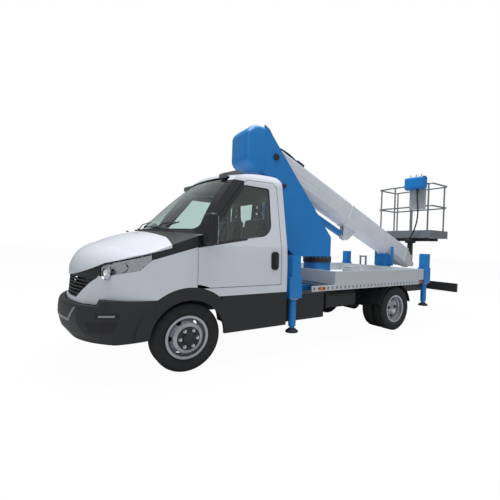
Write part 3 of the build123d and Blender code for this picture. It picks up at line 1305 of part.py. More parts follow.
# Basket: frame below, floor with toe boards, rails
BASKET_FRONT = TIP_BEHIND - BASKET_DEPTH / 2
BASKET_REAR = TIP_BEHIND + BASKET_DEPTH / 2
TOE = 4
with BuildPart() as basket_floor:
    add(block((BASKET_FRONT, BASKET_REAR), (-BASKET_WIDTH / 2, BASKET_WIDTH / 2),
              (BASKET_FLOOR_BOTTOM, TOE_BOARD_TOP)))
    add(block((BASKET_FRONT + TOE, BASKET_REAR - TOE), (TOE - BASKET_WIDTH / 2, BASKET_WIDTH / 2 - TOE),
              (BASKET_FLOOR_BOTTOM + BASKET_FLOOR, TOE_BOARD_TOP)), mode=Mode.SUBTRACT)
keep("basket_floor", basket_floor.part)

BASKET_BEND = 70
BASKET_POSTS = (-1, -1 / 3, 1 / 3, 1)
with BuildPart() as basket_rails:
    inset = BASKET_RAIL_RADIUS + TOE
    half_x = BASKET_DEPTH / 2 - inset
    half_y = BASKET_WIDTH / 2 - inset
    for height in BASKET_RAILS:
        for end in (-1, 1):
            add(rod((at(TIP_BEHIND) + end * half_x, BASKET_BEND - half_y, height),
                    (at(TIP_BEHIND) + end * half_x, half_y - BASKET_BEND, height), BASKET_RAIL_RADIUS))
            add(rod((at(TIP_BEHIND) + BASKET_BEND - half_x, end * half_y, height),
                    (at(TIP_BEHIND) + half_x - BASKET_BEND, end * half_y, height), BASKET_RAIL_RADIUS))
        for turn in range(4):
            across = half_x if turn in (0, 3) else -half_x
            along = half_y if turn in (0, 1) else -half_y
            centre = (at(TIP_BEHIND) + across - BASKET_BEND * across / half_x,
                      along - BASKET_BEND * along / half_y, height)
            with BuildSketch(Plane(origin=centre, x_dir=(across / half_x, 0, 0), z_dir=(0, 1, 0))):
                with Locations((BASKET_BEND, 0)):
                    Circle(BASKET_RAIL_RADIUS)
            revolve(axis=Axis(centre, (0, 0, across * along)), revolution_arc=90)
    for share in BASKET_POSTS:
        for end in (-1, 1):
            post_y = share * (half_y - BASKET_BEND) if abs(share) == 1 else share * half_y
            add(rod((at(TIP_BEHIND) + end * half_x, post_y, BASKET_FLOOR_BOTTOM + BASKET_FLOOR),
                    (at(TIP_BEHIND) + end * half_x, post_y, BASKET_RAILS[-1]), BASKET_RAIL_RADIUS))
keep("basket_rails", basket_rails.part)

# Control box on its panel, outside the basket's front
PANEL_BACK = BASKET_FRONT + TOE - RUN_GAP
BOX_HALF = (140, 540)
with BuildPart() as control_panel:
    add(block((PANEL_BACK - 12, PANEL_BACK), (BOX_HALF[0] + 20, BOX_HALF[1] - 20), (2150, 2700)))
keep("control_panel", control_panel.part)
with BuildPart() as control_box:
    add(block((PANEL_BACK - 175, PANEL_BACK - 12), BOX_HALF, (2550, 2800)))
    fillet(control_box.edges().filter_by(Axis.Y), 50)
keep("control_box", control_box.part)

# Control cable: behind, Y and height of its route, from the boot under the box to the gland on the frame
CABLE_RADIUS = 14
CABLE_ROUTE = (
    (4870, 400, 2460), (4870, 400, 2370), (4880, 414, 2240), (4888, 418, 2060),
    (4884, 401, 1880), (4876, 355, 1720), (4880, 292, 1604), (4905, 240, 1550),
)
ROUTE = [Vector(at(behind), y, z) for behind, y, z in CABLE_ROUTE]
RUNS = [ROUTE[i + 1] - ROUTE[i] for i in range(len(ROUTE) - 1)]
BENDS = []
for first, second in zip(RUNS, RUNS[1:]):
    half_turn = radians(first.get_angle(second) / 2)
    BENDS.append(0.45 * min(first.length, second.length) * cos(half_turn) / sin(half_turn))
with BuildPart() as control_cable:
    with BuildLine() as cable_path:
        FilletPolyline(*ROUTE, radius=BENDS)
    with BuildSketch(Plane(origin=ROUTE[0], z_dir=RUNS[0])):
        Circle(CABLE_RADIUS)
    sweep(path=cable_path.wires()[0])
keep("control_cable", control_cable.part)

# Frame below the basket's floor, with the cable's gland on it and its boot under the control box
BOOT_TOP = 2550
with BuildPart() as basket_frame:
    with BuildSketch(Plane.XY.offset(FRAME_BOTTOM)):
        with Locations((at(TIP_BEHIND), 0)):
            Circle(120)
    extrude(amount=BASKET_FLOOR_BOTTOM - FRAME_BOTTOM)
    for offset_x in (-160, 160):
        add(block((TIP_BEHIND + offset_x - 30, TIP_BEHIND + offset_x + 30), (-520, 520),
                  (FRAME_BOTTOM, BASKET_FLOOR_BOTTOM)))
    add(block((BASKET_FRONT + 40, BASKET_REAR - 40), (-45, 45), (FRAME_BOTTOM, BASKET_FLOOR_BOTTOM)))
    add(block((BASKET_FRONT - 75, BASKET_FRONT + 200), (140, 230), (FRAME_BOTTOM, BASKET_FLOOR_BOTTOM)))
    add(rod(tuple(ROUTE[-1]), tuple(ROUTE[-1] + RUNS[-1].normalized() * 60), CABLE_RADIUS + 8))
    with BuildSketch(Plane(origin=ROUTE[0], z_dir=(0, 0, 1))):
        Circle(CABLE_RADIUS + 4)
    with BuildSketch(Plane(origin=(ROUTE[0].X, ROUTE[0].Y, BOOT_TOP), z_dir=(0, 0, 1))):
        Circle(CABLE_RADIUS + 16)
    loft()
keep("basket_frame", basket_frame.part)
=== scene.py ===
"""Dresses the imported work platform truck: finishes, trim, soft seats, cable, studio and camera."""
from math import cos, pi, radians, sin
import bmesh
import bpy
from bpy.props import FloatProperty, FloatVectorProperty, IntProperty, PointerProperty, StringProperty
from mathutils import Matrix, Vector
from mathutils.bvhtree import BVHTree


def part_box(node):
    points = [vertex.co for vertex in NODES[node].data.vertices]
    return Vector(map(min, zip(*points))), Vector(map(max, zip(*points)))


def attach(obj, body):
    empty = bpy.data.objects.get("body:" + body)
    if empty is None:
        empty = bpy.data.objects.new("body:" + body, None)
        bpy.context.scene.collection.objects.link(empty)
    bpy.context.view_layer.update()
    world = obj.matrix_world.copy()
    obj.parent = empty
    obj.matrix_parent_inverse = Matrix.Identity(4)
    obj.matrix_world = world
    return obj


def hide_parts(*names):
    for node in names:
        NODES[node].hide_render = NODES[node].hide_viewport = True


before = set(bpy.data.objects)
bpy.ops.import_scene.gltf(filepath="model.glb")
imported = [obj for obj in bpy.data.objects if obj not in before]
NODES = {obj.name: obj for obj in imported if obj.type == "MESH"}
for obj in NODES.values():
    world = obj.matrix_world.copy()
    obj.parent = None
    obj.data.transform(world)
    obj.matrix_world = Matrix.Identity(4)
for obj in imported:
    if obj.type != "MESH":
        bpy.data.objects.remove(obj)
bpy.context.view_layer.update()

bl_info = {
    "name": "Work platform truck",
    "version": (1, 0, 0),
    "blender": (4, 5, 0),
    "location": "View3D > Sidebar > Truck",
    "description": "Finishes, trim, seats, cable and studio for a truck with a telescopic work platform",
    "category": "Object",
}


def middle(node):
    """Return the middle of a CAD node's box."""
    low, high = (Vector(corner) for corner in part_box(node))
    return (low + high) / 2


AXLE_X = middle("tyre_front_left").x
SIDES = (("left", 1), ("right", -1))
CAST_START = 0.4
MERGE = 0.00005

# Photo: its side and its optical centre, in pixels
PHOTO_SIDE = 500
PHOTO_CENTRE = (280.36, 251.39)


def spot(behind, y, z):
    """Return a point from its distance behind the front axle, its Y and its height."""
    return Vector((AXLE_X - behind, y, z))


# Boom lines: along the boom from its pivot, and up from it
PIVOT = spot(1.5, 0, 2.6)
TILT = radians(22.7)
WAY = Vector((-cos(TILT), 0, -sin(TILT)))
RISE = Vector((-sin(TILT), 0, cos(TILT)))


def boom_spot(along, up, y=0):
    """Return a point from its distance along and above the boom's pivot line."""
    return PIVOT + WAY * along + RISE * up + Vector((0, y, 0))


# Bumper: half width and height of the intake's and its pale edge's corners, and places on the left corner
INTAKE_TOP = (0.55, 0.672)
INTAKE_FOOT = (0.46, 0.556)
EDGE_FOOT = (0.475, 0.528)
EDGE_TOP = (0.585, 0.672)
FOG_SLOT = ((-0.81, 0.78, 0.636), (-0.632, 0.926, 0.646), (-0.632, 0.926, 0.594), (-0.81, 0.78, 0.584))
LOW_INTAKE = ((-0.886, 0.682, 0.544), (-0.64, 0.922, 0.567), (-0.683, 0.896, 0.476), (-0.856, 0.721, 0.457))
FOG_LENS = ((-0.775, 0.805, 0.621), (-0.66, 0.91, 0.629), (-0.66, 0.91, 0.611), (-0.775, 0.805, 0.603))


def across_nose(top, foot):
    """Return the corners of a patch across the nose from two half widths with their heights."""
    return [spot(-1, -top[0], top[1]), spot(-1, top[0], top[1]), spot(-1, foot[0], foot[1]),
            spot(-1, -foot[0], foot[1])]


# Colour and nodes


def linear(code):
    """Turn an sRGB hex colour into linear RGBA."""
    parts = [int(code[place:place + 2], 16) / 255 for place in (1, 3, 5)]
    return [part / 12.92 if part <= 0.04045 else ((part + 0.055) / 1.055) ** 2.4 for part in parts] + [1.0]


def add_node(tree, kind, settings=None, **inputs):
    """Add a node with its settings, and set or link its inputs by name or by number after an i."""
    node = tree.nodes.new(kind)
    for key, value in (settings or {}).items():
        setattr(node, key, value)
    for key, value in inputs.items():
        name = key.replace("_", " ")
        socket = node.inputs[int(key[1:])] if key[0] == "i" and key[1:].isdigit() else node.inputs[name]
        if isinstance(value, bpy.types.NodeSocket):
            tree.links.new(value, socket)
        else:
            socket.default_value = value
    return node


def start_material(name):
    """Return a new material's tree, its main shader and its object coordinates."""
    material = bpy.data.materials.new(name)
    material.use_nodes = True
    tree = material.node_tree
    shader = tree.nodes["Principled BSDF"]
    place = add_node(tree, "ShaderNodeTexCoord")
    return material, tree, shader, place.outputs["Object"]


def roughen(tree, shader, place, grain_mm, bump_mm, rough, spread):
    """Give a shader a fine relief and a roughness that wanders a little."""
    fine = add_node(tree, "ShaderNodeTexNoise", Vector=place, Scale=1000 / grain_mm, Detail=3.0)
    broad = add_node(tree, "ShaderNodeTexNoise", Vector=place, Scale=4.0, Detail=2.0)
    span = add_node(
        tree, "ShaderNodeMapRange", i0=broad.outputs["Fac"], i3=rough - spread, i4=rough + spread)
    bump = add_node(
        tree, "ShaderNodeBump", Height=fine.outputs["Fac"], Strength=0.5, Distance=bump_mm / 1000)
    tree.links.new(span.outputs[0], shader.inputs["Roughness"])
    tree.links.new(bump.outputs[0], shader.inputs["Normal"])
    return broad.outputs["Fac"]


def shade(tree, amount, low, high):
    """Return a colour that runs between two hex colours by an amount."""
    mix = add_node(tree, "ShaderNodeMix", {"data_type": "RGBA"}, i0=amount, i6=linear(low), i7=linear(high))
    return mix.outputs[2]


def gloss_paint(name, low, high, rough=0.3, coat=0.5):
    """Sprayed two-coat paint: a clear gloss over an even colour, with a faint orange peel."""
    material, tree, shader, place = start_material(name)
    broad = roughen(tree, shader, place, 9, 0.04, rough, 0.05)
    tree.links.new(shade(tree, broad, low, high), shader.inputs["Base Color"])
    shader.inputs["Coat Weight"].default_value = coat
    shader.inputs["Coat Roughness"].default_value = 0.08
    return material


def grained_plastic(name, low, high, rough=0.55, grain_mm=3.0):
    """Moulded polypropylene: dull, with a leathery grain drawn coarse enough to show."""
    material, tree, shader, place = start_material(name)
    cells = add_node(tree, "ShaderNodeTexVoronoi", Vector=place, Scale=1000 / grain_mm)
    broad = roughen(tree, shader, place, grain_mm, 0.1, rough, 0.08)
    bump = add_node(tree, "ShaderNodeBump", Height=cells.outputs["Distance"], Strength=0.35,
                    Distance=0.0004)
    tree.links.new(bump.outputs[0], shader.inputs["Normal"])
    tree.links.new(shade(tree, broad, low, high), shader.inputs["Base Color"])
    shader.inputs["IOR"].default_value = 1.49
    return material


def drawn_metal(name, low, high, rough, along=(3, 260, 260), metal=1.0):
    """Drawn or rolled metal: fine lines along its length that stretch the highlights."""
    material, tree, shader, place = start_material(name)
    turned = add_node(tree, "ShaderNodeMapping", Vector=place, Scale=along)
    lines = add_node(tree, "ShaderNodeTexNoise", Vector=turned.outputs[0], Scale=1.0, Detail=4.0)
    span = add_node(
        tree, "ShaderNodeMapRange", i0=lines.outputs["Fac"], i3=rough - 0.1, i4=rough + 0.1)
    bump = add_node(tree, "ShaderNodeBump", Height=lines.outputs["Fac"], Strength=0.15, Distance=0.0005)
    tree.links.new(span.outputs[0], shader.inputs["Roughness"])
    tree.links.new(bump.outputs[0], shader.inputs["Normal"])
    tree.links.new(shade(tree, lines.outputs["Fac"], low, high), shader.inputs["Base Color"])
    shader.inputs["Metallic"].default_value = metal
    return material


def clear_pane(name, colour, rough=0.0):
    """Float glass or clear polycarbonate: see-through, with a tint and sharp reflections."""
    material, _, shader, _ = start_material(name)
    shader.inputs["Base Color"].default_value = linear(colour)
    shader.inputs["Transmission Weight"].default_value = 1.0
    shader.inputs["IOR"].default_value = 1.45
    shader.inputs["Roughness"].default_value = rough
    return material


def woven_cloth(name, low, high):
    """Flat woven seat cloth: threads two millimetres apart, drawn coarse so that they show."""
    material, tree, shader, place = start_material(name)
    warp = add_node(tree, "ShaderNodeTexWave", {"bands_direction": "Z"}, Vector=place, Scale=160.0,
                    Distortion=0.6)
    weft = add_node(tree, "ShaderNodeTexWave", {"bands_direction": "Y"}, Vector=place, Scale=160.0,
                    Distortion=0.6)
    cross = add_node(
        tree, "ShaderNodeMath", {"operation": "MULTIPLY"}, i0=warp.outputs["Fac"], i1=weft.outputs["Fac"])
    bump = add_node(tree, "ShaderNodeBump", Height=cross.outputs[0], Strength=0.5, Distance=0.001)
    tree.links.new(shade(tree, cross.outputs[0], low, high), shader.inputs["Base Color"])
    tree.links.new(bump.outputs[0], shader.inputs["Normal"])
    shader.inputs["Roughness"].default_value = 0.9
    shader.inputs["Sheen Weight"].default_value = 0.3
    return material


def cab_paint(name, low, high, trim):
    """Gloss cab paint whose linings, window seals and front pillars are dark trim."""
    material, tree, shader, place = start_material(name)
    broad = roughen(tree, shader, place, 9, 0.04, 0.3, 0.05)
    axes = add_node(tree, "ShaderNodeSeparateXYZ", Vector=place)
    facing = add_node(tree, "ShaderNodeTexCoord").outputs["Normal"]
    heart = add_node(
        tree, "ShaderNodeVectorMath", {"operation": "SUBTRACT"}, i0=place, i1=spot(0.62, 0, 1.45))
    outward = add_node(tree, "ShaderNodeVectorMath", {"operation": "NORMALIZE"}, i0=heart.outputs[0])
    toward = add_node(
        tree, "ShaderNodeVectorMath", {"operation": "DOT_PRODUCT"}, i0=facing, i1=outward.outputs[0])
    lining = add_node(tree, "ShaderNodeMath", {"operation": "LESS_THAN"}, i0=toward.outputs["Value"],
                      i1=0.12)
    ahead = add_node(
        tree, "ShaderNodeMath", {"operation": "GREATER_THAN"}, i0=axes.outputs["X"], i1=AXLE_X - 0.655)
    belt = add_node(
        tree, "ShaderNodeMath", {"operation": "MULTIPLY_ADD"}, i0=axes.outputs["X"], i1=-0.17,
        i2=1.262 + 0.17 * (AXLE_X - 0.075))
    above = add_node(
        tree, "ShaderNodeMath", {"operation": "GREATER_THAN"}, i0=axes.outputs["Z"], i1=belt.outputs[0])
    below = add_node(tree, "ShaderNodeMath", {"operation": "LESS_THAN"}, i0=axes.outputs["Z"], i1=2.045)
    pillar = add_node(tree, "ShaderNodeMath", {"operation": "MULTIPLY"}, i0=ahead.outputs[0],
                      i1=above.outputs[0])
    pillar = add_node(tree, "ShaderNodeMath", {"operation": "MULTIPLY"}, i0=pillar.outputs[0],
                      i1=below.outputs[0])
    dark = add_node(tree, "ShaderNodeMath", {"operation": "MAXIMUM"}, i0=pillar.outputs[0],
                    i1=lining.outputs[0])
    colour = add_node(
        tree, "ShaderNodeMix", {"data_type": "RGBA"}, i0=dark.outputs[0], i6=shade(tree, broad, low, high),
        i7=linear(trim))
    tree.links.new(colour.outputs[2], shader.inputs["Base Color"])
    shader.inputs["Coat Weight"].default_value = 0.4
    shader.inputs["Coat Roughness"].default_value = 0.1
    return material


def open_mesh(name, hole_shade, web):
    """Moulded intake mesh: a web of cells twenty-two millimetres wide round holes painted near-black, as
    painted shade of the space behind the mesh.
    """
    material, tree, shader, place = start_material(name)
    cells = add_node(
        tree, "ShaderNodeTexVoronoi", {"feature": "DISTANCE_TO_EDGE"}, Vector=place, Scale=45.0,
        Randomness=0.25)
    edge = add_node(tree, "ShaderNodeMath", {"operation": "LESS_THAN"}, i0=cells.outputs["Distance"],
                    i1=0.09)
    bump = add_node(tree, "ShaderNodeBump", Height=edge.outputs[0], Strength=0.8, Distance=0.004)
    tree.links.new(shade(tree, edge.outputs[0], hole_shade, web), shader.inputs["Base Color"])
    tree.links.new(bump.outputs[0], shader.inputs["Normal"])
    shader.inputs["Roughness"].default_value = 0.6
    return material


def tread_rubber(name, centre):
    """Tyre rubber: dull black, with cross cuts in the tread and fine rings on the wall."""
    material, tree, shader, place = start_material(name)
    arm = add_node(tree, "ShaderNodeVectorMath", {"operation": "SUBTRACT"}, i0=place, i1=centre)
    axes = add_node(tree, "ShaderNodeSeparateXYZ", Vector=arm.outputs[0])
    flat = add_node(tree, "ShaderNodeCombineXYZ", X=axes.outputs["X"], Z=axes.outputs["Z"])
    radius = add_node(tree, "ShaderNodeVectorMath", {"operation": "LENGTH"}, i0=flat.outputs[0])
    turn = add_node(
        tree, "ShaderNodeMath", {"operation": "ARCTAN2"}, i0=axes.outputs["Z"], i1=axes.outputs["X"])
    cuts = add_node(tree, "ShaderNodeMath", {"operation": "MULTIPLY"}, i0=turn.outputs[0], i1=78.0)
    cuts = add_node(tree, "ShaderNodeMath", {"operation": "SINE"}, i0=cuts.outputs[0])
    cuts = add_node(tree, "ShaderNodeMath", {"operation": "GREATER_THAN"}, i0=cuts.outputs[0], i1=-0.55)
    rings = add_node(
        tree, "ShaderNodeMath", {"operation": "MULTIPLY"}, i0=radius.outputs["Value"], i1=2 * pi / 0.011)
    rings = add_node(tree, "ShaderNodeMath", {"operation": "SINE"}, i0=rings.outputs[0])
    rings = add_node(tree, "ShaderNodeMath", {"operation": "MULTIPLY"}, i0=rings.outputs[0], i1=0.18)
    crown = add_node(
        tree, "ShaderNodeMath", {"operation": "GREATER_THAN"}, i0=radius.outputs["Value"], i1=0.333)
    relief = add_node(
        tree, "ShaderNodeMix", i0=crown.outputs[0], i2=rings.outputs[0], i3=cuts.outputs[0])
    bump = add_node(tree, "ShaderNodeBump", Height=relief.outputs[0], Strength=0.8, Distance=0.004)
    dust = add_node(tree, "ShaderNodeTexNoise", Vector=place, Scale=18.0, Detail=4.0)
    tree.links.new(shade(tree, dust.outputs["Fac"], "#18191a", "#2a2b2c"), shader.inputs["Base Color"])
    tree.links.new(bump.outputs[0], shader.inputs["Normal"])
    shader.inputs["Roughness"].default_value = 0.82
    return material


# Mesh building


def turn_to(way):
    """Return the turn that brings +Z to a direction."""
    return Vector((0, 0, 1)).rotation_difference(Vector(way)).to_matrix().to_4x4()


def add_box(bm, centre, size, bevel=0.0, segments=2, turn=None):
    """Add a box with rounded edges."""
    matrix = Matrix.Translation(centre) @ (turn or Matrix()) @ Matrix.Diagonal((*size, 1))
    made = bmesh.ops.create_cube(bm, size=1.0, matrix=matrix)
    if bevel:
        edges = list({edge for vert in made["verts"] for edge in vert.link_edges})
        bmesh.ops.bevel(
            bm, geom=edges, offset=bevel, affect="EDGES", segments=segments, profile=0.5, material=-1)


def add_bar(bm, start, end, near, far=None, segments=20):
    """Add a round bar or a cone between two points."""
    start, end = Vector(start), Vector(end)
    way = end - start
    bmesh.ops.create_cone(
        bm, cap_ends=True, segments=segments, radius1=near, radius2=near if far is None else far,
        depth=way.length, matrix=Matrix.Translation((start + end) / 2) @ turn_to(way))


def add_spun(bm, profile, centre, way, steps=40):
    """Add a turned shape from a profile of distance along an axis and radius."""
    turn = turn_to(way)
    across = turn @ Vector((1, 0, 0))
    axis = Vector(way).normalized()
    centre = Vector(centre)
    verts = [bm.verts.new(centre + axis * along + across * radius) for along, radius in profile]
    edges = [bm.edges.new(pair) for pair in zip(verts, verts[1:])]
    bmesh.ops.spin(
        bm, geom=verts + edges, cent=centre, axis=axis, angle=2 * pi, steps=steps, use_merge=True)
    bmesh.ops.remove_doubles(bm, verts=bm.verts, dist=0.00002)


def add_plate(bm, points, way):
    """Add a flat plate of a given outline, thickened along a direction."""
    verts = [bm.verts.new(point) for point in points]
    face = bm.faces.new(verts)
    made = bmesh.ops.extrude_face_region(bm, geom=[face])
    moved = [item for item in made["geom"] if isinstance(item, bmesh.types.BMVert)]
    bmesh.ops.translate(bm, verts=moved, vec=way)


def surface_of(node):
    """Return a search tree over a CAD node, for laying trim on its surface."""
    bm = bmesh.new()
    bm.from_mesh(NODES[node].data)
    bm.transform(NODES[node].matrix_world)
    tree = BVHTree.FromBMesh(bm)
    bm.free()
    return tree


def add_skin(bm, tree, corners, way, lift, cells=(10, 3)):
    """Lay a thin patch between four corners on a surface, looking along a direction, and lift it off."""
    way = Vector(way).normalized()
    near, far, over, back = (Vector(corner) for corner in corners)
    grid = bmesh.ops.create_grid(bm, x_segments=cells[0], y_segments=cells[1], size=1)["verts"]
    for vert in grid:
        along, across = (vert.co.x + 1) / 2, (vert.co.y + 1) / 2
        point = near.lerp(far, along).lerp(back.lerp(over, along), across)
        hit = tree.ray_cast(point - way * CAST_START, way)[0] or point
        vert.co = hit - way * lift
    faces = list({face for vert in grid for face in vert.link_faces})
    made = bmesh.ops.extrude_face_region(bm, geom=faces)
    moved = [item for item in made["geom"] if isinstance(item, bmesh.types.BMVert)]
    bmesh.ops.translate(bm, verts=moved, vec=way * (lift + 0.001))


def soften(width, *names):
    """Round the sharp edges of CAD nodes by a few millimetres, for the light to catch."""
    for name in names:
        weld = NODES[name].modifiers.new("weld", "WELD")
        weld.merge_threshold = MERGE
        round_off = NODES[name].modifiers.new("edge_round", "BEVEL")
        round_off.width = width
        round_off.segments = 2
        round_off.limit_method = "ANGLE"
        round_off.angle_limit = radians(35)
        round_off.harden_normals = True


def make_piece(name, bm, material, body, levels=0):
    """Turn a mesh under construction into a finished piece that rides on a body."""
    bmesh.ops.recalc_face_normals(bm, faces=bm.faces)
    mesh = bpy.data.meshes.new(name)
    bm.to_mesh(mesh)
    bm.free()
    mesh.shade_smooth()
    mesh.set_sharp_from_angle(angle=radians(38))
    mesh.materials.append(material)
    piece = bpy.data.objects.new(name, mesh)
    bpy.context.scene.collection.objects.link(piece)
    if levels:
        smooth = piece.modifiers.new("soft", "SUBSURF")
        smooth.levels = levels
        smooth.render_levels = levels
    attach(piece, body)
    return piece


def tube_piece(name, points, radius, material, body):
    """Return a smooth hose through its control points."""
    curve = bpy.data.curves.new(name, "CURVE")
    curve.dimensions = "3D"
    curve.bevel_depth = radius
    curve.bevel_resolution = 4
    curve.use_fill_caps = True
    line = curve.splines.new("NURBS")
    line.points.add(len(points) - 1)
    for point, place in zip(line.points, points):
        point.co = (*place, 1.0)
    line.order_u = 3
    line.use_endpoint_u = True
    line.resolution_u = 10
    curve.materials.append(material)
    piece = bpy.data.objects.new(name, curve)
    bpy.context.scene.collection.objects.link(piece)
    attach(piece, body)
    return piece


MATERIALS = {}


def paint_nodes(material, *names):
    """Give CAD nodes a finish."""
    for name in names:
        slots = NODES[name].data.materials
        slots.clear()
        slots.append(material)


class TruckPaint(bpy.types.PropertyGroup):
    """Colours of the truck's finishes."""
    cab: StringProperty(name="Cab paint", description="Pale cab paint, as sRGB hex", default="#cdd1da")
    boom: StringProperty(name="Boom paint", description="Pale boom paint, as sRGB hex", default="#cdd1d8")
    machine: StringProperty(name="Machine paint", description="Blue of turret and jacks, as sRGB hex",
                            default="#0075c0")
    cladding: StringProperty(name="Cladding", description="Bumper and sill plastic, as sRGB hex",
                             default="#1a1b1d")


class TruckStage(bpy.types.PropertyGroup):
    """Studio light and camera."""
    sky: FloatProperty(name="Sky light", description="Strength of the soft surround", default=0.32, min=0)
    key: FloatProperty(name="Key light", description="Power of the main lamp", default=520, unit="POWER")
    fill: FloatProperty(name="Fill light", description="Power of the side lamp", default=120, unit="POWER")
    top: FloatProperty(name="Top light", description="Power of the lamp overhead", default=4200,
                       unit="POWER")
    focal: FloatProperty(name="Focal length", description="Camera focal length in millimetres",
                         default=23.296)
    seat: FloatVectorProperty(
        name="Camera place", description="Camera behind the front axle, left and up",
        default=(-1.1609, 4.1411, 1.3006),
        subtype="XYZ", unit="LENGTH")
    yaw: FloatProperty(name="Yaw", description="Turn towards the rear", default=0.6211, subtype="ANGLE")
    pitch: FloatProperty(name="Pitch", description="Tilt up", default=-0.0147, subtype="ANGLE")
    roll: FloatProperty(name="Roll", description="Turn about the view line", default=0.0315,
                        subtype="ANGLE")


class TruckTrim(bpy.types.PropertyGroup):
    """Counts and sizes of trim."""
    nuts: IntProperty(name="Wheel nuts", description="Nuts on each wheel", default=6, min=3)
    ring_bolts: IntProperty(name="Ring bolts", description="Bolts round the slewing ring", default=24,
                            min=6)


class TRUCK_OT_finishes(bpy.types.Operator):
    """Give every CAD node its finish"""
    bl_idname = "truck.finishes"
    bl_label = "Finishes"

    def execute(self, context):
        paint = context.scene.truck_paint
        made = {
            "cab": cab_paint("two_coat_cab_paint", paint.cab, "#d8dbe3", "#111214"),
            "body": gloss_paint("two_coat_body_paint", paint.cab, "#d8dbe3"),
            "boom": gloss_paint("silver_grey_machine_enamel", paint.boom, "#dfe2e7", 0.38, 0.3),
            "blue": gloss_paint("blue_machine_enamel", paint.machine, "#0a80ca", 0.42, 0.12),
            "cladding": grained_plastic("grained_black_polypropylene", paint.cladding, "#242528"),
            "black": gloss_paint("satin_black_chassis_paint", "#1d1e20", "#29292b", 0.5, 0.1),
            "dash": grained_plastic("soft_grey_dash_plastic", "#191a1c", "#242528", 0.6, 2.0),
            "grey": grained_plastic("light_grey_moulded_plastic", "#9ea2a6", "#b3b7ba", 0.5, 2.0),
            "bed": drawn_metal("extruded_bed_aluminium", "#b9c0c6", "#d0d5d9", 0.45, metal=0.4),
            "deck": gloss_paint("satin_white_deck_paint", "#d2d5d8", "#e2e4e6", 0.5, 0.1),
            "tube": drawn_metal("drawn_aluminium_tube", "#7d8387", "#9aa0a4", 0.4, metal=0.75),
            "steel": drawn_metal("ground_steel", "#8d9094", "#b0b3b6", 0.3),
            "chrome": drawn_metal("hard_chrome", "#c4c8cc", "#d6d9dc", 0.14),
            "cast": grained_plastic("painted_cast_iron", "#232425", "#303132", 0.65, 2.0),
            "rim": drawn_metal("silver_painted_wheel_steel", "#a4a8ac", "#c2c6c9", 0.34, (40, 40, 40), 0.7),
            "glass": clear_pane("pale_green_tinted_glass", "#d6e6e2"),
            "lens": clear_pane("clear_lamp_polycarbonate", "#eef2f5"),
            "amber": clear_pane("amber_lamp_polycarbonate", "#f08a1c", 0.15),
            "red": clear_pane("red_lamp_polycarbonate", "#c41818", 0.15),
            "rubber": grained_plastic("black_hose_rubber", "#141415", "#222223", 0.7, 2.0),
            "cloth": woven_cloth("woven_seat_cloth", "#141517", "#26282b"),
            "pod": grained_plastic("mid_grey_moulded_plastic", "#565a5e", "#686c70", 0.5, 2.0),
            # The intake mesh's holes are painted near-black: painted shade of the space behind the mesh.
            "mesh": open_mesh("black_intake_mesh", "#0c0c0d", "#3a3b3e"),
            "satin": gloss_paint("satin_grey_trim_paint", "#6d7176", "#7d8186", 0.45, 0.1),
            "bowl": drawn_metal("vapour_coated_lamp_reflector", "#7d8185", "#a9adb1", 0.25, (60, 60, 60)),
            "mirror": drawn_metal("silvered_mirror_glass", "#c9d0d4", "#dfe4e7", 0.12),
        }
        MATERIALS.update(made)
        paint_nodes(made["cab"], "cab_shell", "door_left", "door_right")
        paint_nodes(made["body"], "front_panel", "bonnet")
        paint_nodes(made["cladding"], "bumper", "cladding", "cowl", "grille", "side_boxes", "mudguards")
        paint_nodes(made["cladding"], "door_fittings_left", "door_fittings_right")
        paint_nodes(made["black"], "chassis_frame", "underrun_bar", "basket_frame", "basket_mount")
        paint_nodes(made["cast"], "front_suspension", "rear_axle", "engine", "knuckle_left",
                    "knuckle_right", "slew_ring")
        paint_nodes(made["blue"], "outrigger_frame", "cradle", "turret_frame", "turret_hood",
                    "lift_barrel", "control_box")
        paint_nodes(made["boom"], "boom_outer", "boom_mid", "boom_inner")
        paint_nodes(made["chrome"], "lift_rod")
        paint_nodes(made["bed"], "bed_sides")
        paint_nodes(made["deck"], "bed_deck")
        paint_nodes(made["tube"], "basket_rails", "basket_floor")
        paint_nodes(made["grey"], "control_panel")
        paint_nodes(made["pod"], "roof_pods")
        paint_nodes(made["dash"], "dashboard")
        paint_nodes(made["cloth"], "seats")
        paint_nodes(made["glass"], "cab_glass", "door_glass_left", "door_glass_right")
        paint_nodes(made["lens"], "headlamps")
        paint_nodes(made["rubber"], "control_cable")
        for side, sign in SIDES:
            paint_nodes(made["rim"], f"rim_front_{side}", f"rims_rear_{side}")
            paint_nodes(made["blue"], f"jack_front_{side}", f"jack_rear_{side}")
            for node in (f"tyre_front_{side}", f"tyres_rear_{side}"):
                paint_nodes(tread_rubber(f"{node}_rubber", middle(node)), node)
        soften(0.004, "turret_frame", "boom_outer", "boom_mid", "boom_inner", "outrigger_frame",
               "bed_sides")
        soften(0.004, "bumper", "control_box", "cladding")
        return {"FINISHED"}


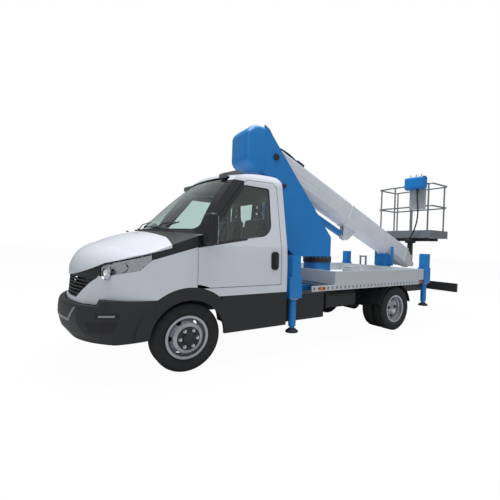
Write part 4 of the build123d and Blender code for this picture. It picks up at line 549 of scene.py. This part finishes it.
class TRUCK_OT_wheels(bpy.types.Operator):
    """Add hub caps and nuts to the wheels"""
    bl_idname = "truck.wheels"
    bl_label = "Wheel trim"

    def execute(self, context):
        count = context.scene.truck_trim.nuts
        for side, sign in SIDES:
            for axle in ("front", "rear"):
                node = f"rim_front_{side}" if axle == "front" else f"rims_rear_{side}"
                hub = middle(node)
                low, high = (Vector(corner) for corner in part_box(node))
                face = (high.y if sign > 0 else low.y) if axle == "front" else hub.y + sign * 0.012
                way = Vector((0, sign, 0))
                seat = Vector((hub.x, face, hub.z))
                body = f"wheel_{axle}_{side}"
                bm = bmesh.new()
                add_spun(bm, ((-0.012, 0.118), (0.0, 0.118), (0.004, 0.112), (0.006, 0.066), (0.03, 0.06),
                              (0.036, 0.05), (0.036, 0.0)), seat, way, 40)
                make_piece(f"hub_plate_{axle}_{side}", bm, MATERIALS["cast"], body)
                bm = bmesh.new()
                for number in range(count):
                    turn = 2 * pi * number / count
                    foot = seat + Vector((0.088 * cos(turn), 0, 0.088 * sin(turn)))
                    add_bar(bm, foot, foot + way * 0.012, 0.017, segments=18)
                    add_bar(bm, foot + way * 0.012, foot + way * 0.03, 0.0135, segments=6)
                    add_bar(bm, foot + way * 0.03, foot + way * 0.037, 0.009, 0.007, segments=12)
                make_piece(f"wheel_nuts_{axle}_{side}", bm, MATERIALS["chrome"], body)
        return {"FINISHED"}


class TRUCK_OT_cab_trim(bpy.types.Operator):
    """Add wipers, jets, mirror glasses, lamp bowls, plates and trim to the cab"""
    bl_idname = "truck.cab_trim"
    bl_label = "Cab trim"

    def wipers(self):
        """Lay two wipers along the screen's foot."""
        for name, foot, tip in (("left", (-0.185, 0.28, 1.462), (-0.085, 0.74, 1.525)),
                                ("right", (-0.20, -0.42, 1.462), (-0.21, 0.12, 1.535))):
            start, end = spot(*foot), spot(*tip)
            bm = bmesh.new()
            add_bar(bm, start - Vector((0.02, 0, 0.03)), start + Vector((0.012, 0, 0.012)), 0.014)
            add_bar(bm, start, (start + end) / 2 + Vector((0.012, 0, 0.02)), 0.008, 0.006, 10)
            add_bar(bm, (start + end) / 2 + Vector((0.012, 0, 0.02)), end, 0.006, 0.004, 10)
            blade = (end - start) * 0.42
            add_bar(bm, end - blade - Vector((0, 0, 0.012)), end + blade * 0.35 - Vector((0, 0, 0.01)),
                    0.007, 0.006, 8)
            make_piece(f"wiper_{name}", bm, MATERIALS["rubber"], "root")

    def lamps(self):
        """Set a dark bowl and bright reflectors behind each lamp lens."""
        bm = bmesh.new()
        bm.from_mesh(NODES["headlamps"].data)
        bmesh.ops.remove_doubles(bm, verts=bm.verts, dist=MERGE)
        for vert in bm.verts:
            vert.co += Vector((-0.026, -0.016 if vert.co.y > 0 else 0.016, -0.004))
        make_piece("lamp_housings", bm, MATERIALS["bowl"], "root")
        for side, sign in SIDES:
            bm = bmesh.new()
            for behind, half, z, radius in ((-0.735, 0.765, 1.0, 0.058), (-0.60, 0.845, 1.055, 0.045)):
                seat = spot(behind + 0.03, sign * half, z)
                way = Vector((0.86, sign * 0.46, 0.12))
                add_spun(bm, ((0.0, 0.0), (0.004, radius * 0.5), (0.016, radius * 0.86), (0.03, radius),
                              (0.026, radius * 1.06)), seat, way, 32)
            make_piece(f"lamp_bowls_{side}", bm, MATERIALS["chrome"], "root")

    def bumper_face(self):
        """Lay the intake mesh with its painted dark holes, its pale lower edge, dark rubber patches as
        painted shade in the fog slots and low intakes, and the fog lamps on the bumper.
        """
        tree = surface_of("bumper")
        ahead = (-1, 0, 0)
        bm = bmesh.new()
        add_skin(bm, tree, across_nose(INTAKE_TOP, INTAKE_FOOT), ahead, 0.003, (24, 4))
        make_piece("bumper_intake_mesh", bm, MATERIALS["mesh"], "root")
        bm = bmesh.new()
        add_skin(bm, tree, across_nose(INTAKE_FOOT, EDGE_FOOT), ahead, 0.005, (24, 1))
        for sign in (1, -1):
            flank = [spot(-1, sign * half, z) for half, z in (INTAKE_TOP, INTAKE_FOOT, EDGE_FOOT, EDGE_TOP)]
            add_skin(bm, tree, flank, ahead, 0.005, (8, 2))
        make_piece("bumper_intake_edge", bm, MATERIALS["satin"], "root")
        for side, sign in SIDES:
            way = (-0.8, -0.6 * sign, 0)
            bm = bmesh.new()
            # The fog slot and the low intake each get a dark rubber patch: painted shade of the recess and
            # of the opening.
            for outline in (FOG_SLOT, LOW_INTAKE):
                add_skin(bm, tree, [spot(behind, sign * half, z) for behind, half, z in outline], way, 0.003)
            make_piece(f"bumper_recess_shade_{side}", bm, MATERIALS["rubber"], "root")
            bm = bmesh.new()
            add_skin(bm, tree, [spot(behind, sign * half, z) for behind, half, z in FOG_LENS], way, 0.006)
            make_piece(f"fog_lamp_{side}", bm, MATERIALS["bowl"], "root")

    def window_seals(self):
        """Run a dark rubber bead round the outer edge of each pane."""
        for node, body, thick in (("door_glass_left", "door_left", 0.011),
                                  ("door_glass_right", "door_right", 0.011),
                                  ("cab_glass", "root", 0.013)):
            pane = bmesh.new()
            pane.from_mesh(NODES[node].data)
            bmesh.ops.remove_doubles(pane, verts=pane.verts, dist=MERGE)
            bmesh.ops.recalc_face_normals(pane, faces=pane.faces)
            heart = spot(0.62, 0, 1.45)
            bm = bmesh.new()
            for edge in pane.edges:
                if len(edge.link_faces) == 2 and edge.calc_face_angle(0.0) > radians(50):
                    outward = ((edge.verts[0].co + edge.verts[1].co) / 2 - heart).normalized()
                    if max(face.normal.dot(outward) for face in edge.link_faces) > 0.55:
                        add_bar(bm, edge.verts[0].co, edge.verts[1].co, thick, segments=8)
            pane.free()
            make_piece(f"{node}_seal", bm, MATERIALS["rubber"], body)

    def execute(self, context):
        self.wipers()
        self.lamps()
        self.bumper_face()
        self.window_seals()
        bm = bmesh.new()
        for half in (-0.25, 0.25):
            add_box(bm, spot(-0.37, half, 1.432), (0.03, 0.022, 0.016), 0.005)
        make_piece("washer_jets", bm, MATERIALS["rubber"], "bonnet")
        for side, sign in SIDES:
            low, high = (Vector(corner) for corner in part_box(f"door_fittings_{side}"))
            outer = high.y if sign > 0 else low.y
            bm = bmesh.new()
            add_box(bm, (AXLE_X - 0.14 - 0.0485, outer - sign * 0.095, 1.485), (0.006, 0.15, 0.19), 0.002)
            add_box(bm, (AXLE_X - 0.14 - 0.0485, outer - sign * 0.095, 1.345), (0.006, 0.15, 0.065), 0.002)
            make_piece(f"mirror_glass_{side}", bm, MATERIALS["mirror"], f"door_{side}")
            bm = bmesh.new()
            rim = [(across * 0.012 + 0.038 * cos(turn * pi / 12),
                    along * 0.068 + 0.038 * sin(turn * pi / 12))
                   for across, along, first in ((1, 1, 0), (-1, 1, 6), (-1, -1, 12), (1, -1, 18))
                   for turn in range(first, first + 7)]
            add_plate(bm, [spot(1.015 + across, sign * 0.984, 1.13 + along) for across, along in rim],
                      Vector((0, sign * 0.024, 0)))
            make_piece(f"handle_grip_{side}", bm, MATERIALS["rubber"], f"door_{side}")
        return {"FINISHED"}


class TRUCK_OT_seats(bpy.types.Operator):
    """Make the padded seats and their open head restraints"""
    bl_idname = "truck.seats"
    bl_label = "Seats"

    def execute(self, context):
        floor = 0.74
        for name, half, width in (("driver", 0.42, 0.48), ("middle", -0.17, 0.41),
                                  ("passenger", -0.61, 0.40)):
            bm = bmesh.new()
            add_box(bm, spot(0.78, half, floor + 0.245), (0.44, width - 0.02, 0.13), 0.045, 3)
            lean = Matrix.Rotation(radians(-9), 4, "Y")
            add_box(bm, spot(1.035, half, floor + 0.6), (0.12, width - 0.02, 0.64), 0.05, 3, lean)
            for sign in (-1, 1):
                add_box(bm, spot(0.985, half + sign * (width / 2 - 0.06), floor + 0.57),
                        (0.075, 0.08, 0.5), 0.03, 3, lean)
                add_box(bm, spot(0.77, half + sign * (width / 2 - 0.055), floor + 0.30),
                        (0.36, 0.075, 0.05), 0.022, 3)
            pad = make_piece(f"seat_{name}", bm, MATERIALS["cloth"], "root", 1)
            bm = bmesh.new()
            add_box(bm, spot(0.80, half, floor + 0.09), (0.40, width - 0.10, 0.178), 0.02, 2)
            for place, tall in ((0.93, 0.085), (1.03, 0.058), (1.116, 0.056)):
                add_box(bm, spot(1.095, half, floor + place), (0.06, 0.24 - 0.3 * (place - 0.93), tall),
                        0.02, 3)
            for sign in (-1, 1):
                add_bar(bm, spot(1.09, half + sign * 0.088, floor + 0.86),
                        spot(1.095, half + sign * 0.07, floor + 1.115),
                        0.034, 0.031, 16)
            make_piece(f"seat_frame_{name}", bm, MATERIALS["dash"], "root")
        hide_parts("seats")
        return {"FINISHED"}


class TRUCK_OT_bed(bpy.types.Operator):
    """Add lamps, the deck box and brackets round the bed"""
    bl_idname = "truck.bed"
    bl_label = "Bed trim"

    def execute(self, context):
        low, high = (Vector(corner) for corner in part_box("bed_sides"))
        for name, behind, z in (("front", 1.78, 0.764), ("rear", 4.10, 0.764)):
            bm = bmesh.new()
            for sign in (1, -1):
                add_box(bm, spot(behind, sign * (high.y + 0.004), z), (0.11, 0.02, 0.04), 0.008, 2)
            make_piece(f"side_markers_{name}", bm, MATERIALS["amber"], "root")
        bm = bmesh.new()
        add_box(bm, spot(2.98, 0.42, 0.905), (0.24, 0.2, 0.15), 0.03, 3)
        add_box(bm, spot(2.98, 0.42, 0.99), (0.2, 0.16, 0.03), 0.012, 2)
        make_piece("deck_locker", bm, MATERIALS["grey"], "root")
        bm = bmesh.new()
        for half in (-0.30, -0.16):
            add_box(bm, spot(4.22, half - 0.15, 1.0), (0.03, 0.03, 0.30), 0.006)
        add_box(bm, spot(4.22, -0.38, 1.155), (0.03, 0.19, 0.03), 0.006)
        make_piece("tool_bracket", bm, MATERIALS["tube"], "root")
        low, high = (Vector(corner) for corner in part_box("underrun_bar"))
        for sign in (1, -1):
            for name, place, material in (("stop", 0.93, "red"), ("turn", 0.80, "amber"),
                                          ("back", 0.70, "lens")):
                bm = bmesh.new()
                add_box(bm, (low.x - 0.012, sign * place, (low.z + high.z) / 2), (0.026, 0.115, 0.10),
                        0.01, 3)
                make_piece(f"rear_lamp_{name}_{'left' if sign > 0 else 'right'}", bm, MATERIALS[material],
                           "root")
        return {"FINISHED"}


class TRUCK_OT_boom(bpy.types.Operator):
    """Add pressed lines, the top rail, hoses and a hose clamp to the boom"""
    bl_idname = "truck.boom"
    bl_label = "Boom trim"

    def execute(self, context):
        turn = Matrix.Rotation(-TILT, 4, "Y")
        bm = bmesh.new()
        for sign in (1, -1):
            for up in (0.055, -0.02, -0.075):
                add_box(bm, boom_spot(1.95, up, sign * 0.1505), (3.25, 0.004, 0.012), 0.0018, 2, turn)
        make_piece("boom_pressed_lines", bm, MATERIALS["boom"], "boom_outer")
        bm = bmesh.new()
        add_box(bm, boom_spot(1.95, 0.217, 0.1), (3.3, 0.03, 0.012), 0.004, 2, turn)
        add_box(bm, boom_spot(1.95, 0.217, -0.1), (3.3, 0.03, 0.012), 0.004, 2, turn)
        make_piece("boom_top_rails", bm, MATERIALS["blue"], "boom_outer")
        hose = [boom_spot(-0.02, 0.235, 0.05), boom_spot(0.18, 0.27, 0.055), boom_spot(0.38, 0.262, 0.06),
                boom_spot(0.52, 0.232, 0.06)]
        tube_piece("boom_hose_near", hose, 0.02, MATERIALS["rubber"], "boom_outer")
        hose = [boom_spot(-0.02, 0.235, -0.01), boom_spot(0.18, 0.262, -0.005), boom_spot(0.40, 0.255, 0.0),
                boom_spot(0.56, 0.23, 0.0)]
        tube_piece("boom_hose_far", hose, 0.016, MATERIALS["rubber"], "boom_outer")
        bm = bmesh.new()
        add_box(bm, boom_spot(0.52, 0.24, 0.03), (0.16, 0.16, 0.06), 0.015, 2, turn)
        make_piece("boom_hose_clamp", bm, MATERIALS["rubber"], "boom_outer")
        return {"FINISHED"}


class TRUCK_OT_turret(bpy.types.Operator):
    """Add ring bolts, pin caps and a rounded hood cover to the turret"""
    bl_idname = "truck.turret"
    bl_label = "Turret trim"

    def execute(self, context):
        low, high = (Vector(corner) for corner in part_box("slew_ring"))
        centre = (low + high) / 2
        count = context.scene.truck_trim.ring_bolts
        bm = bmesh.new()
        for number in range(count):
            turn = 2 * pi * number / count
            out = Vector((cos(turn), sin(turn), 0))
            foot = Vector((centre.x, centre.y, high.z - 0.02)) + out * (high.x - centre.x - 0.004)
            add_bar(bm, foot, foot + out * 0.012, 0.011, segments=6)
        make_piece("slewing_ring_bolts", bm, MATERIALS["steel"], "root")
        low, high = (Vector(corner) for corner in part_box("turret_frame"))
        bm = bmesh.new()
        for sign in (1, -1):
            for centre, radius in ((PIVOT, 0.05), (spot(1.66, 0, 2.2), 0.034)):
                face = sign * (high.y - 0.002)
                seat = Vector((centre.x, face, centre.z))
                add_spun(bm, ((0.0, 0.0), (0.0, radius), (0.006, radius), (0.01, radius * 0.8),
                              (0.01, 0.0)),
                         seat, (0, sign, 0), 28)
        make_piece("turret_pin_caps", bm, MATERIALS["black"], "turret")
        bm = bmesh.new()
        profile = ((1.3, 2.322), (1.3, 2.995), (1.145, 3.005), (1.011, 2.885), (1.011, 2.485),
                   (1.15, 2.346))
        add_plate(bm, [spot(behind, -0.252, z) for behind, z in profile], Vector((0, 0.504, 0)))
        front = [edge for edge in bm.edges if min(AXLE_X - vert.co.x for vert in edge.verts) < 1.2]
        bmesh.ops.bevel(bm, geom=front, offset=0.066, affect="EDGES", segments=5, profile=0.5, material=-1,
                        clamp_overlap=True)
        back = [face for face in bm.faces if all(AXLE_X - vert.co.x > 1.29 for vert in face.verts)]
        bmesh.ops.delete(bm, geom=back, context="FACES_ONLY")
        bmesh.ops.recalc_face_normals(bm, faces=bm.faces)
        bmesh.ops.solidify(bm, geom=bm.faces, thickness=0.01)
        hood = make_piece("hood_cover", bm, MATERIALS["blue"], "turret")
        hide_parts("turret_hood")
        return {"FINISHED"}


class TRUCK_OT_jacks(bpy.types.Operator):
    """Add collar rings and feet pads to the jacks"""
    bl_idname = "truck.jacks"
    bl_label = "Jack trim"

    def execute(self, context):
        for axle, bottom in (("front", 0.66), ("rear", 0.736)):
            for side, sign in SIDES:
                low, high = (Vector(corner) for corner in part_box(f"jack_{axle}_{side}"))
                centre = (low + high) / 2
                bm = bmesh.new()
                add_spun(bm, ((0.0, 0.0495), (0.0, 0.076), (-0.012, 0.076), (-0.016, 0.07),
                              (-0.016, 0.0495), (0.0, 0.0495)),
                         (centre.x, centre.y, bottom), (0, 0, 1), 36)
                make_piece(f"jack_collar_{axle}_{side}", bm, MATERIALS["steel"], "root")
                bm = bmesh.new()
                add_spun(bm, ((0.001, 0.0), (0.0005, 0.081), (0.017, 0.081), (0.037, 0.056),
                              (0.0515, 0.037), (0.0515, 0.033)),
                         (centre.x, centre.y, low.z), (0, 0, 1), 36)
                make_piece(f"jack_foot_{axle}_{side}", bm, MATERIALS["rubber"], f"jack_{axle}_{side}")
        return {"FINISHED"}


class TRUCK_OT_basket(bpy.types.Operator):
    """Add the cable and control levers to the basket"""
    bl_idname = "truck.basket"
    bl_label = "Basket trim"

    def execute(self, context):
        route = ((4.870, 0.400, 2.460), (4.870, 0.400, 2.370), (4.880, 0.414, 2.240), (4.888, 0.418, 2.060),
                 (4.884, 0.401, 1.880), (4.876, 0.355, 1.720), (4.880, 0.292, 1.604), (4.905, 0.240, 1.550))
        cable = tube_piece(
            "control_lead", [spot(*point) for point in route], 0.014, MATERIALS["rubber"], "basket")
        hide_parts("control_cable")
        low, high = (Vector(corner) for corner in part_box("control_box"))
        centre = (low + high) / 2
        bm = bmesh.new()
        for y in (-0.12, 0.0, 0.12):
            foot = Vector((low.x + 0.07, centre.y + y, high.z - 0.006))
            add_bar(bm, foot, foot + Vector((0, 0, 0.012)), 0.02, segments=20)
            add_bar(bm, foot, foot + Vector((0, 0, 0.05)), 0.006, 0.005, 12)
            add_bar(bm, foot + Vector((0, 0, 0.044)), foot + Vector((0, 0, 0.06)), 0.012, 0.01, 16)
        make_piece("control_levers", bm, MATERIALS["rubber"], "basket")
        return {"FINISHED"}


class TRUCK_OT_stage(bpy.types.Operator):
    """Lay the floor, the soft studio light and the camera"""
    bl_idname = "truck.stage"
    bl_label = "Studio"

    def execute(self, context):
        scene = context.scene
        studio = scene.truck_stage
        scene.view_settings.view_transform = "Standard"
        world = bpy.data.worlds.new("white_surround")
        scene.world = world
        world.use_nodes = True
        tree = world.node_tree
        tree.nodes.clear()
        path = add_node(tree, "ShaderNodeLightPath")
        seen = add_node(
            tree, "ShaderNodeMath", {"operation": "MAXIMUM"}, i0=path.outputs["Is Camera Ray"],
            i1=path.outputs["Is Transmission Ray"])
        soft = add_node(tree, "ShaderNodeBackground", Color=(0.93, 0.96, 1.0, 1.0), Strength=studio.sky)
        white = add_node(tree, "ShaderNodeBackground", Color=(1.0, 1.0, 1.0, 1.0), Strength=1.0)
        mix = add_node(tree, "ShaderNodeMixShader", i0=seen.outputs[0], i1=soft.outputs[0],
                       i2=white.outputs[0])
        add_node(tree, "ShaderNodeOutputWorld", Surface=mix.outputs[0])

        bm = bmesh.new()
        bmesh.ops.create_grid(bm, x_segments=1, y_segments=1, size=60)
        mesh = bpy.data.meshes.new("pale_floor")
        bm.to_mesh(mesh)
        bm.free()
        floor = bpy.data.objects.new("pale_floor", mesh)
        scene.collection.objects.link(floor)
        material, tree, shader, _ = start_material("pale_studio_floor")
        shader.inputs["Base Color"].default_value = linear("#b4b5b7")
        shader.inputs["Roughness"].default_value = 0.9
        path = add_node(tree, "ShaderNodeLightPath")
        seen = add_node(
            tree, "ShaderNodeMath", {"operation": "MAXIMUM"}, i0=path.outputs["Is Camera Ray"],
            i1=path.outputs["Is Transmission Ray"])
        part = add_node(tree, "ShaderNodeMath", {"operation": "MULTIPLY"}, i0=seen.outputs[0], i1=0.95)
        glow = add_node(tree, "ShaderNodeEmission", Color=(1, 1, 1, 1), Strength=1.02)
        mix = add_node(tree, "ShaderNodeMixShader", i0=part.outputs[0], i1=shader.outputs[0],
                       i2=glow.outputs[0])
        tree.links.new(mix.outputs[0], tree.nodes["Material Output"].inputs["Surface"])
        mesh.materials.append(material)

        for name, place, size, power in (
                ("key", (13.0, 12.0, 12.0), 10.0, studio.key),
                ("fill", (-6.0, 16.0, 9.0), 12.0, studio.fill),
                ("top", (1.0, 0.0, 18.0), 14.0, studio.top)):
            lamp = bpy.data.lights.new(f"{name}_softbox", "AREA")
            lamp.energy = power
            lamp.size = size
            holder = bpy.data.objects.new(f"{name}_softbox", lamp)
            holder.location = place
            aim = Vector((0, 0, 1.2)) - Vector(place)
            holder.rotation_euler = aim.to_track_quat("-Z", "Y").to_euler()
            scene.collection.objects.link(holder)

        camera = bpy.data.cameras.new("photo_camera")
        camera.sensor_width = 36.0
        camera.lens = studio.focal
        camera.shift_x = 0.5 - PHOTO_CENTRE[0] / PHOTO_SIDE
        camera.shift_y = PHOTO_CENTRE[1] / PHOTO_SIDE - 0.5
        holder = bpy.data.objects.new("photo_camera", camera)
        scene.collection.objects.link(holder)
        ahead = Vector((-sin(studio.yaw) * cos(studio.pitch), -cos(studio.yaw) * cos(studio.pitch),
                        sin(studio.pitch)))
        right = Vector((-cos(studio.yaw), sin(studio.yaw), 0))
        up = right.cross(ahead)
        across = right * cos(studio.roll) + up * sin(studio.roll)
        over = up * cos(studio.roll) - right * sin(studio.roll)
        turn = Matrix((across, over, -ahead)).transposed().to_4x4()
        holder.matrix_world = Matrix.Translation(spot(*studio.seat)) @ turn
        scene.camera = holder
        return {"FINISHED"}


OPERATORS = (
    TRUCK_OT_finishes, TRUCK_OT_wheels, TRUCK_OT_cab_trim, TRUCK_OT_seats, TRUCK_OT_bed, TRUCK_OT_boom,
    TRUCK_OT_turret, TRUCK_OT_jacks, TRUCK_OT_basket, TRUCK_OT_stage,
)


class TRUCK_PT_panel(bpy.types.Panel):
    """List the steps that dress the truck"""
    bl_idname = "TRUCK_PT_panel"
    bl_label = "Work platform truck"
    bl_space_type = "VIEW_3D"
    bl_region_type = "UI"
    bl_category = "Truck"

    def draw(self, context):
        for operator in OPERATORS:
            self.layout.operator(operator.bl_idname)


CLASSES = (TruckPaint, TruckStage, TruckTrim, *OPERATORS, TRUCK_PT_panel)


def register():
    """Register the classes and their settings."""
    for item in CLASSES:
        bpy.utils.register_class(item)
    bpy.types.Scene.truck_paint = PointerProperty(type=TruckPaint)
    bpy.types.Scene.truck_stage = PointerProperty(type=TruckStage)
    bpy.types.Scene.truck_trim = PointerProperty(type=TruckTrim)


def unregister():
    """Remove the settings and the classes."""
    del bpy.types.Scene.truck_trim
    del bpy.types.Scene.truck_stage
    del bpy.types.Scene.truck_paint
    for item in reversed(CLASSES):
        bpy.utils.unregister_class(item)


def main():
    """Dress the truck."""
    register()
    for operator in OPERATORS:
        group, name = operator.bl_idname.split(".")
        getattr(getattr(bpy.ops, group), name)()


if __name__ == "__main__":
    main()
